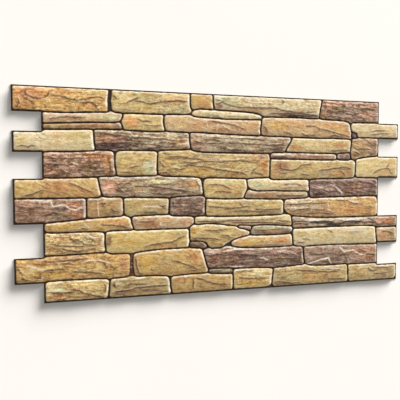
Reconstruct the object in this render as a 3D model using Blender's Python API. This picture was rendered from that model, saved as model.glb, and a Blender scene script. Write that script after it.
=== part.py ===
"""Faux stone wall panel: one thin vacuum-formed plastic sheet, lying flat on its back.

The sheet imitates dry-laid ledge stone.  Between the stones it is flat, at the
joint level; behind every stone it is drawn up, so the stones are hollow at the
back and the wall is equally thick everywhere.  Both ends are stepped with tabs and
recesses at the same levels, so that a row of panels interlocks without a
straight seam.

Units are metres.  +X runs along the sheet, +Y towards its upper edge and +Z out of
its face.  The origin is under the middle of the sheet, at the back of the joints.
"""
import math

import bpy
import bmesh
from mathutils import Vector
from mathutils.geometry import tessellate_polygon

MM = 0.001

# ---- driving dimensions, in mm ------------------------------------------------
LENGTH = 980.0          # tab tip to tab tip
HEIGHT = 480.0          # lower edge to upper edge
TAB = 61.0              # how far the tabs reach past the recesses
WALL = 0.5              # thickness of the formed sheet
FIT_GAP = 0.25          # clearance on each side of a tab in its recess
EDGE_RUN = 1.5          # how far a stone's sloping side runs inwards
SLIVER_RUN = 0.6        # the same on the thinnest slivers
SLIVERS = ("b8", "c7", "i4", "i6", "j5")

# Levels at which the ends step in and out, from the top down.
STEPS = (423.0, 381.5, 335.0, 277.5, 176.5, 102.5, 44.7)

# Each stone: how far it stands above the joints, then its corners clockwise from
# the upper left, in mm from the sheet's lower left corner, where its side meets
# the joint.
STONES = {
    # course 1, top
    "a1": (3.7, [(4, 477), (202, 477.5), (205, 477), (206.5, 475), (204.5, 451), (205, 436), (204, 429), (202, 428), (123.5, 424.5), (92.5, 424), (66.5, 424), (59.5, 426), (6.5, 426), (4.5, 426.5), (3, 428), (3, 474)]),
    "a2": (3.5, [(215, 477), (217.5, 477), (393, 477), (395, 476.5), (396, 474.5), (396.5, 448.5), (397.5, 444.5), (401, 438), (400, 434), (397.5, 431), (393.5, 429.5), (380.5, 428.5), (341.5, 427.5), (334.5, 426.5), (327.5, 427.5), (264, 427.5), (245, 427), (239, 426), (233, 427.5), (220, 428.5), (214.5, 431), (212, 437.5), (211, 453.5), (213.5, 474)]),
    "a3": (3.3, [(399, 476), (401, 477), (403, 477), (451, 477), (453, 474), (453.5, 459), (455, 443), (452.5, 442.5), (422.5, 443.5), (405.5, 440), (402.5, 440.5), (400, 445), (399, 449), (398.5, 473)]),
    "a4": (3.8, [(455, 477), (457.5, 477), (742.5, 477.5), (744.5, 477), (746, 475), (740.5, 445), (739, 434), (738.5, 432), (735.5, 430.5), (715.5, 429.5), (689.5, 431), (655, 431), (586, 429.5), (583.5, 429.5), (578, 433.5), (572.5, 436), (556.5, 438.5), (534.5, 440.5), (459.5, 443), (458, 444), (457.5, 446), (456, 459)]),
    "a5": (3.4, [(749, 475.5), (750.5, 477), (913.5, 477.5), (915.5, 476.5), (916, 474.5), (916, 428), (916, 424.5), (842, 423), (832.5, 420.5), (829.5, 421), (822, 424.5), (813, 426.5), (793, 428), (745.5, 429.5), (742.5, 430.5), (741, 432), (743, 445), (748.5, 473.5)]),
    # course 2
    "b1": (3.2, [(404, 436.5), (410.5, 439), (423.5, 441), (451, 440), (458, 441), (471, 440), (535, 438), (557, 436.5), (568, 434.5), (575.5, 432.5), (579.5, 430), (581, 427), (580.5, 425), (579, 423), (576, 422.5), (485, 421), (417.5, 424), (404.5, 426), (401, 428), (399.5, 430)]),
    "b2": (3.6, [(64, 421.5), (66.5, 422), (115.5, 422), (199, 425.5), (203, 426), (208.5, 429), (211.5, 429.5), (220.5, 426), (234, 425), (236, 424), (237, 422), (237, 420), (235.5, 415.5), (232, 408.5), (229, 407), (218, 405.5), (153, 403.5), (68.5, 399), (65.5, 399.5), (64, 401)]),
    "b3": (3.1, [(64, 395.5), (66, 396.5), (69, 397), (155, 401.5), (215, 403), (229, 404.5), (232, 404), (233.5, 402), (236, 395.5), (236.5, 391.5), (234.5, 390), (230, 389), (180, 389), (172, 387.5), (166, 388.5), (157, 388.5), (70, 386), (67, 386.5), (65, 387.5), (63.5, 390)]),
    "b4": (3.6, [(240, 423), (242.5, 424.5), (262.5, 425), (329.5, 425), (332, 423.5), (332.5, 421.5), (331.5, 413.5), (332, 404.5), (332.5, 399.5), (335, 391), (334.5, 389), (331, 387), (300, 386.5), (263, 387.5), (242, 389), (240, 389.5), (238.5, 391), (237.5, 397), (234.5, 406.5), (238.5, 417)]),
    "b5": (3.8, [(335.5, 423), (339, 425), (381, 426.5), (396, 427.5), (405, 423.5), (418, 421.5), (486, 419), (574, 420.5), (578, 419.5), (578.5, 416.5), (576.5, 400.5), (576.5, 385.5), (575.5, 384), (570.5, 383), (451.5, 386), (424.5, 387.5), (401.5, 387), (394.5, 385.5), (388.5, 386.5), (352.5, 387.5), (339.5, 388.5), (337.5, 390.5), (335, 399.5), (334, 414.5)]),
    "b6": (3.9, [(582.5, 425), (586, 427), (611, 428), (688, 428.5), (716, 427.5), (739, 429), (747.5, 427), (792.5, 425.5), (813.5, 424), (824, 421), (827.5, 419), (829.5, 416.5), (832, 403.5), (834.5, 397), (833.5, 387.5), (835, 380.5), (833, 379), (831, 378.5), (824, 380), (782, 381), (740, 380), (670, 381), (663, 380), (654, 381.5), (601, 382.5), (584, 383), (579.5, 384.5), (579, 387), (578.5, 400), (581, 421)]),
    "b7": (3.4, [(835.5, 418.5), (840, 421), (913, 422), (921, 420), (974, 420), (976, 419.5), (977, 416.5), (977, 387.5), (976.5, 385.5), (974.5, 384.5), (921, 384.5), (915.5, 383.5), (908.5, 384.5), (857.5, 384), (855.5, 385), (854, 386), (851.5, 393), (850, 394.5), (843.5, 397), (837.5, 398), (836, 399), (833.5, 407), (833, 414)]),
    "b8": (2.2, [(837.5, 394.5), (841.5, 395), (847.5, 393.5), (849, 392), (851, 386.5), (850, 383.5), (846.5, 381.5), (842.5, 381), (839.5, 381), (837.5, 382.5), (835.5, 389), (836.5, 393)]),
    # course 3
    "c1": (3.6, [(4.5, 378.5), (57.5, 378.5), (61.5, 379.5), (65, 383), (67, 384), (160, 386), (168, 386), (171, 384.5), (172.5, 356.5), (174.5, 344.5), (173.5, 340.5), (138.5, 338.5), (83.5, 338), (65.5, 336.5), (59, 338), (6, 338), (3.5, 338.5), (3, 340.5), (3, 375.5)]),
    "c2": (3.3, [(173.5, 384.5), (175, 386), (178, 386.5), (229, 387), (237, 388), (244, 386.5), (266, 385), (300.5, 384.5), (329.5, 385), (337.5, 386.5), (352.5, 385), (390.5, 384), (393.5, 383), (394, 381), (394.5, 363), (397, 350.5), (396.5, 348.5), (393.5, 346.5), (337, 344), (325, 343), (317, 340.5), (306, 342.5), (246, 342.5), (229, 341.5), (222.5, 339), (219.5, 338.5), (209, 342), (180, 342), (178, 342.5), (177, 344.5), (175.5, 353.5)]),
    "c3": (3.5, [(396.5, 383), (400.5, 385), (424.5, 385), (449.5, 383.5), (530, 381.5), (570, 380.5), (579, 382), (585, 381), (600, 380), (655, 379.5), (660, 378), (660.5, 376), (660, 373), (657.5, 367.5), (647, 351), (644, 345.5), (641.5, 343.5), (638, 342.5), (613, 342), (602.5, 338.5), (593.5, 340), (549.5, 339.5), (455.5, 340), (424.5, 341), (406.5, 343.5), (401, 345.5), (399.5, 348.5), (397.5, 361), (396.5, 381)]),
    "c4": (3.7, [(663.5, 376.5), (667, 378.5), (740, 378), (783, 378.5), (823, 377.5), (829.5, 376.5), (832.5, 375), (833.5, 373), (833.5, 368), (831.5, 349), (830.5, 346), (828, 344), (800, 342.5), (791.5, 340), (780.5, 341.5), (651.5, 343), (648.5, 343), (647.5, 345), (647.5, 348), (659.5, 366.5)]),
    "c5": (3.5, [(836.5, 376.5), (839, 379), (846, 379.5), (852.5, 382), (854.5, 382.5), (860.5, 382), (911, 382), (915.5, 380.5), (916, 377), (916, 347), (915, 341), (913, 337.5), (908, 335.5), (886.5, 334), (857.5, 329.5), (853.5, 329), (845.5, 325), (836.5, 326.5), (834.5, 328), (832, 344), (834, 350.5), (835.5, 367.5), (836, 374.5)]),
    "c6": (2.9, [(606, 337.5), (612.5, 340), (636.5, 340), (644.5, 342), (652, 340.5), (782, 339), (789, 337.5), (790, 335.5), (790.5, 329.5), (789.5, 327), (785.5, 325.5), (761.5, 324.5), (607.5, 326.5), (605.5, 327), (603.5, 329), (603.5, 334)]),
    "c7": (2.7, [(794.5, 338.5), (799, 340), (826, 342), (829, 341), (831, 337.5), (831.5, 328.5), (830.5, 327), (826, 325), (806, 325), (798, 326), (795, 326.5), (793.5, 328), (792.5, 335)]),
    # course 4
    "d1": (3.5, [(65, 334), (70, 335), (143, 336.5), (170, 338), (177.5, 340), (210.5, 339.5), (214.5, 338), (217, 333), (218, 309), (220.5, 291.5), (221, 286), (219.5, 284.5), (214.5, 283), (190.5, 282.5), (185.5, 282), (181, 280.5), (172.5, 281), (98.5, 279), (80.5, 279), (66.5, 280), (64.5, 281), (64, 283), (64, 332)]),
    "d2": (3.4, [(224, 337), (226, 338), (230.5, 339.5), (244.5, 340), (304.5, 340.5), (311.5, 340), (316, 337.5), (317, 332.5), (315.5, 301.5), (316.5, 288.5), (315.5, 286.5), (313, 284.5), (241, 282.5), (227, 283), (223.5, 285.5), (220.5, 308.5), (220, 325.5), (222.5, 334)]),
    "d3": (3.9, [(321, 339.5), (325.5, 341), (396.5, 345), (406, 341), (428, 338.5), (461, 337.5), (597, 337.5), (599.5, 336), (601, 334.5), (602.5, 324.5), (602, 317.5), (600.5, 281.5), (599, 280), (596, 279), (561, 278), (541.5, 275.5), (533.5, 277), (459.5, 279), (439.5, 279), (428.5, 276), (424.5, 276.5), (417, 280), (405, 281), (352, 282.5), (332, 283.5), (323, 285.5), (320.5, 287), (319, 288.5), (318, 299.5), (319.5, 336.5)]),
    "d4": (3.7, [(605, 322), (607.5, 324), (758.5, 322), (783.5, 322.5), (792.5, 325), (804, 322.5), (824, 322.5), (833, 325), (843, 322.5), (845, 320.5), (846.5, 316.5), (845, 284.5), (843, 280.5), (838.5, 278.5), (822.5, 277.5), (721.5, 275), (711.5, 273), (704.5, 274.5), (686.5, 275), (613.5, 274), (608, 275), (606, 276), (604, 278), (603, 280), (604.5, 320)]),
    "d5": (3.6, [(849.5, 323.5), (853.5, 326.5), (873, 330), (888, 332), (907, 333.5), (914, 334.5), (918.5, 332), (920.5, 332), (973.5, 332), (976, 331.5), (977, 330), (977, 283.5), (975.5, 281), (920.5, 280.5), (918.5, 280.5), (915, 278), (913, 277.5), (905, 278), (855, 279), (850, 280.5), (848, 284), (849, 313.5), (848.5, 320.5)]),
    # course 5
    "e1": (3.6, [(3.5, 273.5), (5.5, 274.5), (60.5, 274.5), (66.5, 277.5), (81.5, 277), (112.5, 277), (176.5, 278.5), (178.5, 277.5), (180.5, 275), (183, 260.5), (186.5, 245), (186.5, 239.5), (186, 237.5), (181.5, 235), (162, 234), (155, 233), (147, 234.5), (6, 234), (3, 235.5), (3, 237.5), (3, 271.5)]),
    "e2": (3.4, [(183.5, 278.5), (186, 280), (198, 280.5), (214, 280.5), (221, 282.5), (230, 280.5), (243, 280), (309, 281.5), (312.5, 282), (318.5, 284), (335.5, 280.5), (403, 279), (416, 277.5), (420.5, 276), (422.5, 274.5), (424, 271.5), (426, 263), (428, 242), (427.5, 239.5), (423, 237), (368, 234.5), (354, 233), (345, 231), (336, 232), (264, 234), (244, 234), (238, 233), (228.5, 235.5), (209.5, 235), (197.5, 236), (192.5, 238), (189.5, 243.5), (185.5, 259), (182, 276.5)]),
    "e3": (3.6, [(431.5, 273), (436, 276), (440, 276.5), (460, 276.5), (535, 274.5), (539.5, 273.5), (542, 253), (541, 249), (534.5, 236.5), (532.5, 230.5), (530.5, 228.5), (526.5, 227.5), (499.5, 227), (438.5, 229.5), (436.5, 230), (434, 232), (432, 235.5), (430.5, 240.5), (428.5, 263.5), (429, 266.5)]),
    "e4": (3.5, [(542, 271.5), (545, 274), (550, 275), (562.5, 276), (599, 277), (601, 277), (608, 272.5), (615, 272), (672, 273), (707, 272), (709.5, 270.5), (710.5, 268), (710, 259), (711.5, 248), (711, 246), (710, 244), (706.5, 243), (698, 245), (641.5, 245.5), (611.5, 246.5), (565.5, 246.5), (552, 250), (546, 254), (543.5, 258.5)]),
    "e5": (3.0, [(541.5, 245.5), (544, 248), (547, 248.5), (561, 245), (569, 244), (612, 244.5), (642, 243), (700.5, 242.5), (705.5, 241), (707, 239.5), (708.5, 236.5), (709, 233.5), (708, 230.5), (706, 229), (699.5, 227), (653.5, 225), (641.5, 223), (630.5, 225), (539, 227), (534.5, 229.5), (536, 234)]),
    "e6": (3.7, [(714.5, 271.5), (719.5, 273), (826.5, 275), (838.5, 276), (847, 279), (858, 277), (911, 275.5), (915, 272.5), (916, 269.5), (916, 234), (915.5, 231), (912.5, 229.5), (903.5, 230.5), (868.5, 230), (722.5, 227.5), (718.5, 227.5), (716, 229), (714, 230.5), (713, 233.5), (712.5, 241.5), (714, 248.5), (712.5, 259.5), (713, 268.5)]),
    # course 6
    "f1": (3.6, [(3.5, 231), (25.5, 232), (84.5, 231.5), (148.5, 232.5), (153.5, 230), (154, 191), (152.5, 188), (151, 187), (72.5, 180), (65.5, 178.5), (59.5, 179.5), (8.5, 179.5), (5.5, 180.5), (3.5, 183), (3, 228)]),
    "f2": (3.3, [(156, 230.5), (161, 232), (181, 232.5), (188, 235), (191, 235), (198, 233.5), (207, 233), (228.5, 233), (233.5, 232), (235, 230.5), (236.5, 221.5), (237, 197.5), (236, 194.5), (232, 191), (162.5, 187.5), (158.5, 188), (156, 190)]),
    "f3": (3.5, [(238.5, 229.5), (243, 231.5), (263, 232), (338, 230), (342, 229.5), (344, 227), (344.5, 223), (343, 196), (342, 194.5), (339.5, 192.5), (316.5, 192.5), (264.5, 190.5), (261, 190), (254, 187.5), (243, 192), (241, 193.5), (239.5, 196)]),
    "f4": (3.7, [(347.5, 228), (350, 230), (364, 232), (380.5, 233), (422.5, 234.5), (429.5, 232.5), (434, 229), (434.5, 226.5), (433, 206.5), (432.5, 191.5), (431.5, 188.5), (429.5, 187.5), (414.5, 187), (405.5, 185), (395, 188), (353, 189), (348.5, 191), (346, 194), (345.5, 197), (346.5, 226)]),
    "f5": (3.5, [(436.5, 225.5), (438, 226.5), (441, 227.5), (500, 225), (525, 225.5), (533, 226.5), (542, 225), (633, 223), (637.5, 221), (639.5, 218.5), (640, 193), (638, 188), (636.5, 187), (631.5, 186), (539.5, 184), (479.5, 185), (439, 186), (436, 187.5), (435, 190.5), (435, 207.5)]),
    "f6": (3.8, [(643.5, 218.5), (646.5, 221.5), (651, 223), (698, 224.5), (702, 225), (711, 228), (718, 225.5), (722.5, 225), (831.5, 227.5), (906.5, 228), (911.5, 226), (913, 224.5), (916, 214.5), (916, 183.5), (915.5, 181.5), (914, 178.5), (909, 176.5), (905, 176), (786, 175.5), (747, 176), (715, 177.5), (663.5, 182), (651.5, 188), (645.5, 193.5), (642.5, 197.5), (641.5, 204.5), (642.5, 214.5)]),
    # course 7
    "g1": (3.1, [(664, 177), (665.5, 178.5), (668, 180), (716, 175), (758, 173.5), (903, 173.5), (908, 174), (914, 175.5), (920.5, 173.5), (975.5, 173.5), (977, 170.5), (977.5, 151.5), (976.5, 148.5), (973.5, 146.5), (954.5, 146), (914.5, 145.5), (903, 149.5), (875, 151.5), (763, 151), (670, 149.5), (668, 150), (665, 154), (665.5, 164)]),
    "h1": (3.5, [(64, 174), (68, 176.5), (71.5, 177.5), (146.5, 184), (155, 186), (163, 185.5), (229, 188.5), (239, 191.5), (249, 187), (253, 184), (259, 160.5), (257.5, 159), (254.5, 158), (210.5, 158), (202.5, 157), (195, 154.5), (187, 156), (173, 157.5), (138, 157.5), (88, 157), (75, 157.5), (68, 159), (64.5, 163), (64, 166)]),
    "h2": (3.4, [(260, 188), (264, 188.5), (316, 190), (337, 190), (343, 191), (352, 187), (396, 185.5), (403, 183.5), (404.5, 182.5), (405, 180.5), (405, 171.5), (403.5, 168.5), (397.5, 164.5), (392.5, 159.5), (390.5, 158.5), (381.5, 158), (320.5, 158.5), (267.5, 157.5), (263, 159.5), (261.5, 161), (257.5, 174.5), (256.5, 181.5), (257, 184.5)]),
    "h3": (3.1, [(408.5, 182.5), (410, 184), (415, 185), (427, 185), (432, 186), (439, 184), (443, 183.5), (540, 182), (631.5, 183.5), (640.5, 186), (643.5, 186), (653.5, 184.5), (658, 182.5), (660.5, 180.5), (661.5, 177.5), (663.5, 163), (662.5, 158), (661, 156.5), (659, 156), (619, 160), (597, 161), (572, 161), (561, 160), (555, 159), (546, 161), (522.5, 162), (513.5, 160), (470, 166), (451, 168), (431, 168), (413, 167), (408, 168.5), (407, 171.5), (407.5, 180.5)]),
    # course 8
    "i1": (3.5, [(65.5, 155.5), (67.5, 156.5), (76.5, 155), (87.5, 154.5), (143.5, 155.5), (173.5, 155), (189.5, 153.5), (193, 151.5), (194, 148.5), (193.5, 130.5), (195, 112), (193, 109.5), (191, 108.5), (188, 108), (177.5, 108.5), (129.5, 107), (67.5, 106), (65.5, 106.5), (63.5, 109), (63.5, 153)]),
    "i2": (3.8, [(199, 154), (204, 155), (224, 156), (253, 156), (261, 157), (266, 155.5), (270, 155.5), (389, 156), (391.5, 155), (392.5, 153), (393, 133), (394, 125.5), (392.5, 120), (392, 115), (391, 113), (388.5, 111.5), (314.5, 110), (267.5, 105.5), (255, 102), (243, 104.5), (208, 105), (199.5, 108.5), (198.5, 110), (197.5, 113), (196, 131.5), (196.5, 149.5)]),
    "i3": (3.9, [(398, 162), (402, 164.5), (406, 166), (414, 164.5), (436, 165.5), (449, 165.5), (466, 164.5), (512.5, 158), (514.5, 157.5), (520.5, 153.5), (536, 149.5), (545.5, 146.5), (547, 145.5), (549, 143), (548, 139), (546, 136.5), (519.5, 131), (505.5, 126.5), (496, 120), (486, 116), (481, 111.5), (477, 110), (468.5, 107.5), (451.5, 107.5), (446.5, 108.5), (443, 110.5), (435.5, 121), (427.5, 125), (414.5, 126.5), (398.5, 127), (396.5, 128), (395.5, 131), (395, 149), (394, 156), (394.5, 158)]),
    "i4": (2.6, [(397, 124.5), (413, 124.5), (423.5, 123.5), (428.5, 122), (433.5, 119), (437, 115.5), (438, 112.5), (437, 109.5), (435, 108.5), (427.5, 106), (419, 109.5), (400, 110.5), (397, 111.5), (395, 113.5), (394.5, 117.5), (395.5, 122.5)]),
    "i5": (3.0, [(555.5, 155.5), (557, 157), (560, 158), (573, 158.5), (593, 159), (617, 157.5), (661, 154), (663.5, 152), (665.5, 147.5), (664.5, 143), (661, 138.5), (658.5, 137.5), (649, 136.5), (591, 135.5), (558, 136), (555, 136.5), (552, 137.5), (551, 139.5), (550.5, 143.5), (551, 146.5), (554, 149.5)]),
    "i6": (2.3, [(519, 158.5), (521.5, 160), (547.5, 158.5), (551.5, 157.5), (553, 156), (553, 153.5), (552, 151), (550.5, 149.5), (549, 148.5), (547, 148.5), (537.5, 151.5), (521, 155.5), (519, 156.5)]),
    "i7": (3.5, [(503, 122.5), (509, 125.5), (521.5, 129), (549, 135), (561, 133.5), (590, 133), (647, 134), (658, 135), (661, 134.5), (664, 130), (665.5, 110), (665, 108), (663, 106.5), (656.5, 105), (582.5, 104.5), (544.5, 105.5), (520.5, 107.5), (506, 110), (503, 111), (500.5, 113), (499.5, 118.5)]),
    "i8": (3.6, [(668, 146.5), (672.5, 147.5), (688.5, 147), (760.5, 148.5), (872.5, 149), (903.5, 147), (908.5, 145.5), (910, 144), (911, 142), (912, 123), (914, 105), (913.5, 103), (908.5, 101.5), (769.5, 104), (705.5, 103), (695.5, 100.5), (689, 103), (673, 105), (670, 106), (668.5, 107.5), (665.5, 133.5), (665.5, 138.5)]),
    "i9": (3.4, [(913.5, 141.5), (916, 143.5), (919.5, 143.5), (954.5, 143.5), (972.5, 144), (974.5, 143.5), (977, 141.5), (977, 107.5), (975, 106), (972, 105.5), (921, 105.5), (918, 106), (916, 109.5), (914.5, 120.5), (913, 136.5)]),
    # course 9
    "j1": (3.9, [(3, 98.5), (5, 99.5), (46, 99.5), (58, 100), (62, 101), (65.5, 103.5), (68.5, 104), (130.5, 104.5), (176.5, 106.5), (187.5, 106), (195.5, 107), (209, 102.5), (246, 102), (250, 100.5), (252, 96.5), (251.5, 74.5), (250, 56.5), (248.5, 52.5), (245.5, 50), (214.5, 48.5), (204.5, 46), (195.5, 48), (175.5, 49.5), (102.5, 50), (70.5, 49.5), (64, 47.5), (6.5, 48), (4, 49), (3, 51), (3, 96.5)]),
    "j2": (3.9, [(261.5, 101.5), (266.5, 103.5), (316, 108), (386, 109), (393, 110.5), (400, 108.5), (420, 107), (424, 105), (426, 102.5), (436.5, 65), (440, 56.5), (439.5, 51), (438, 49.5), (434, 48), (400, 48), (357.5, 46), (346.5, 43.5), (339, 46.5), (333, 47.5), (298, 49.5), (267, 49.5), (262.5, 52), (260.5, 57), (258.5, 75), (259, 97)]),
    "j3": (3.5, [(429, 102.5), (433, 105.5), (439.5, 108), (442, 108), (450.5, 105.5), (468.5, 105.5), (473.5, 106.5), (483, 109.5), (492, 110), (499.5, 110), (508, 107), (521, 105), (549.5, 103), (601.5, 102), (655, 102.5), (666.5, 104.5), (675.5, 102), (690, 100.5), (694.5, 97.5), (695, 95.5), (696.5, 75.5), (698.5, 59.5), (696.5, 57), (693, 55.5), (620, 51.5), (612, 50.5), (596, 52.5), (574, 54), (535, 54.5), (512, 54.5), (506, 54), (500.5, 56), (493.5, 57), (444.5, 58), (441.5, 59.5), (439, 64), (429.5, 97.5)]),
    "j4": (3.6, [(699.5, 99), (704, 100.5), (735, 101.5), (777.5, 101.5), (866.5, 99.5), (913.5, 100), (915.5, 98.5), (916, 95.5), (916.5, 53.5), (914.5, 50.5), (911.5, 49), (880.5, 49), (835.5, 50), (827.5, 48.5), (822, 51), (818, 51.5), (764.5, 50.5), (735.5, 51), (719, 52.5), (705.5, 56), (702.5, 57.5), (701, 59.5), (699, 74), (697.5, 96.5)]),
    "j5": (2.4, [(444, 54.5), (448.5, 56), (492.5, 54.5), (501.5, 53.5), (503.5, 51.5), (504, 47.5), (502.5, 44.5), (501, 43.5), (497, 43), (452, 45.5), (445, 47), (443.5, 48.5), (442, 51.5)]),
    # course 10, bottom
    "k1": (3.7, [(65.5, 45.5), (69, 47), (103, 48), (180, 47), (198, 45.5), (202, 44), (203.5, 41), (201, 9), (199.5, 5), (197, 3), (67.5, 3), (65.5, 3), (64, 5.5), (64, 42.5)]),
    "k2": (3.5, [(206.5, 42.5), (209, 45), (213.5, 46), (241.5, 47.5), (250.5, 49.5), (255.5, 50), (260.5, 49.5), (266.5, 47.5), (269.5, 47), (299, 47), (339, 44), (343, 41), (344.5, 38), (348, 6.5), (346, 3.5), (342, 3), (207.5, 3), (204.5, 4.5), (203.5, 6.5), (203, 8.5), (206, 40.5)]),
    "k3": (3.4, [(350.5, 42), (355.5, 43.5), (399.5, 46), (432.5, 46), (439.5, 47), (447, 44), (452, 43.5), (494, 41), (500, 41), (502, 40), (503.5, 37.5), (504, 21.5), (503.5, 6.5), (502, 3.5), (499, 3), (356, 2.5), (353, 3.5), (351.5, 5.5), (350.5, 7.5), (349, 19), (348.5, 37.5)]),
    "k4": (3.5, [(506, 49.5), (509.5, 52), (539.5, 52.5), (593, 50.5), (609, 48.5), (611, 46.5), (611.5, 44.5), (607.5, 11.5), (605, 8), (601.5, 5.5), (583.5, 3), (509.5, 2.5), (507, 4.5), (506, 6.5), (506, 33.5), (505, 42.5)]),
    "k5": (3.7, [(614, 47.5), (618.5, 49.5), (690.5, 53), (700.5, 55.5), (717, 50.5), (723, 49.5), (736.5, 48.5), (764.5, 48), (817.5, 49), (821.5, 48.5), (824, 47), (825, 45), (827, 9), (825.5, 5), (821.5, 3), (616.5, 3), (614.5, 3), (611.5, 4.5), (609.5, 8.5)]),
    "k6": (3.4, [(828.5, 46.5), (832.5, 47.5), (910.5, 47), (914, 46.5), (917.5, 42.5), (919, 41.5), (974.5, 41.5), (976, 40.5), (977, 38.5), (977, 16), (974.5, 7.5), (973.5, 5.5), (971.5, 3), (834.5, 2.5), (831, 3.5), (829.5, 6), (828, 43.5)]),
}


def end_outline():
    """The sheet's outline, clockwise from the upper left corner."""
    g = FIT_GAP
    left, right = 0.0, LENGTH
    points = [(left, HEIGHT), (right - TAB, HEIGHT)]
    # Right end, going down: a tab wherever the left end has a recess.
    tab_here = False
    for level in STEPS:
        if tab_here:
            points += [(right, level + g), (right - TAB, level + g)]
        else:
            points += [(right - TAB, level - g), (right, level - g)]
        tab_here = not tab_here
    points += [(right, 0.0), (left + TAB, 0.0)]
    # Left end, going up.
    recess_here = True
    for level in reversed(STEPS):
        if recess_here:
            points += [(left + TAB, level + g), (left, level + g)]
        else:
            points += [(left, level - g), (left + TAB, level - g)]
        recess_here = not recess_here
    return points


def inset(points, distance):
    """Move a clockwise outline inwards, keeping its edges parallel."""
    count = len(points)
    result = []
    for i in range(count):
        before = Vector(points[i - 1])
        here = Vector(points[i])
        after = Vector(points[(i + 1) % count])
        d0 = (here - before).normalized()
        d1 = (after - here).normalized()
        n0 = Vector((d0.y, -d0.x))
        n1 = Vector((d1.y, -d1.x))
        mitre = (n0 + n1) / (1.0 + n0.dot(n1))
        result.append(here + mitre * distance)
    return result


def run_of(name):
    return SLIVER_RUN if name in SLIVERS else EDGE_RUN


def back_step(run, relief):
    """Plan distance between the front and back skins of a sloping side."""
    slope = math.hypot(run, relief)
    return WALL * (slope - run) / relief


class Sheet:
    """Collects the sheet's faces, with one vertex for each ring corner."""

    def __init__(self):
        self.bm = bmesh.new()

    def ring(self, points, height):
        return [self.bm.verts.new(((x - LENGTH / 2) * MM, (y - HEIGHT / 2) * MM, height * MM))
                for x, y in points]

    def band(self, lower, upper, facing_out=True):
        """Quads between two clockwise rings of equal count."""
        count = len(lower)
        for i in range(count):
            j = (i + 1) % count
            quad = (lower[j], lower[i], upper[i], upper[j])
            self.bm.faces.new(quad if facing_out else quad[::-1])

    def cap(self, ring, facing_up):
        """A flat top: clockwise from above faces down, so it is turned over."""
        self.bm.faces.new(ring[::-1] if facing_up else ring)

    def web(self, outer, holes, facing_up):
        """The flat joints between an outline and the stones."""
        rings = [outer] + holes
        flat = [v for ring in rings for v in ring]
        for tri in tessellate_polygon([[v.co.copy() for v in ring] for ring in rings]):
            a, b, c = (flat[k] for k in tri)
            area = ((b.co.x - a.co.x) * (c.co.y - a.co.y)
                    - (c.co.x - a.co.x) * (b.co.y - a.co.y))
            if (area > 0) != facing_up:
                b, c = c, b
            self.bm.faces.new((a, b, c))


def build_mesh():
    sheet = Sheet()
    outline = end_outline()
    back_edge = sheet.ring(outline, 0.0)
    front_edge = sheet.ring(outline, WALL)
    sheet.band(back_edge, front_edge)
    front_feet, back_feet = [], []
    for name, (relief, corners) in STONES.items():
        run = run_of(name)
        step = back_step(run, relief)
        foot = sheet.ring(corners, WALL)
        crest = sheet.ring(inset(corners, run), WALL + relief)
        sheet.band(foot, crest)
        sheet.cap(crest, facing_up=True)
        back_foot = sheet.ring(inset(corners, step), 0.0)
        back_crest = sheet.ring(inset(corners, run + step), relief)
        sheet.band(back_foot, back_crest, facing_out=False)
        sheet.cap(back_crest, facing_up=False)
        front_feet.append(foot)
        back_feet.append(back_foot)
    sheet.web(front_edge, front_feet, facing_up=True)
    sheet.web(back_edge, back_feet, facing_up=False)
    mesh = bpy.data.meshes.new("wall_panel")
    sheet.bm.to_mesh(mesh)
    sheet.bm.free()
    return mesh


def printed_plastic():
    material = bpy.data.materials.new("printed_sheet")
    material.use_nodes = True
    shader = material.node_tree.nodes["Principled BSDF"]
    shader.inputs["Base Color"].default_value = (0.45, 0.30, 0.15, 1.0)
    shader.inputs["Roughness"].default_value = 0.6
    shader.inputs["Metallic"].default_value = 0.0
    return material


def main():
    for item in list(bpy.data.objects):
        bpy.data.objects.remove(item, do_unlink=True)
    panel = bpy.data.objects.new("wall_panel", build_mesh())
    panel.data.materials.append(printed_plastic())
    bpy.context.scene.collection.objects.link(panel)


main()
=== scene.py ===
"""The look of the faux stone wall panel: a thin formed plastic sheet with a printed
ledge-stone relief, lying on a pale floor.

The stone table holds the outlines as first read.  They are moved out until the
joints have their width, which gives the panel's own outlines to about a millimetre.
The colours come from a short named palette, laid on each stone as soft areas, then
broken up by noise along the stone's bedding.  Cracks, ledges and rounded rims are in
the mesh.  The colours also hold painted light and shade: highlights on the rims, most on
the top and right, shade along the lower and left edges and beside the lines, highlights
on the lips and raised edges of the lines, and each stone a little lighter at its top."""
import math

import bpy
import numpy as np
from mathutils import Matrix, Vector
from mathutils.geometry import delaunay_2d_cdt


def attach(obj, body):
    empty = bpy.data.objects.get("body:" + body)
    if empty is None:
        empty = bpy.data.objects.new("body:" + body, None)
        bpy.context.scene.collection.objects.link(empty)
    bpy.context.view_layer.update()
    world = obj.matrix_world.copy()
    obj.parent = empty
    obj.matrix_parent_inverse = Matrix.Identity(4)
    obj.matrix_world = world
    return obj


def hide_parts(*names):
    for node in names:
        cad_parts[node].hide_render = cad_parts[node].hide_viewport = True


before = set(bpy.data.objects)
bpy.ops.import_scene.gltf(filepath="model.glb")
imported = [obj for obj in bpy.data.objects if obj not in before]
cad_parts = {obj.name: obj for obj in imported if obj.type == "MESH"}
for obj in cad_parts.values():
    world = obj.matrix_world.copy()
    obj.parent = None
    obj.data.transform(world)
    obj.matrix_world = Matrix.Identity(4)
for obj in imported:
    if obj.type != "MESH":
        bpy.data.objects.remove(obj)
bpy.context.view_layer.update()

MM = 0.001
LENGTH, HEIGHT, TAB, WALL, FIT_GAP = 980.0, 480.0, 61.0, 0.5, 0.25
STEPS = (423.0, 381.5, 335.0, 277.5, 176.5, 102.5, 44.7)
SLIVERS = ("b8", "c7", "i4", "i6", "j5")

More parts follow.
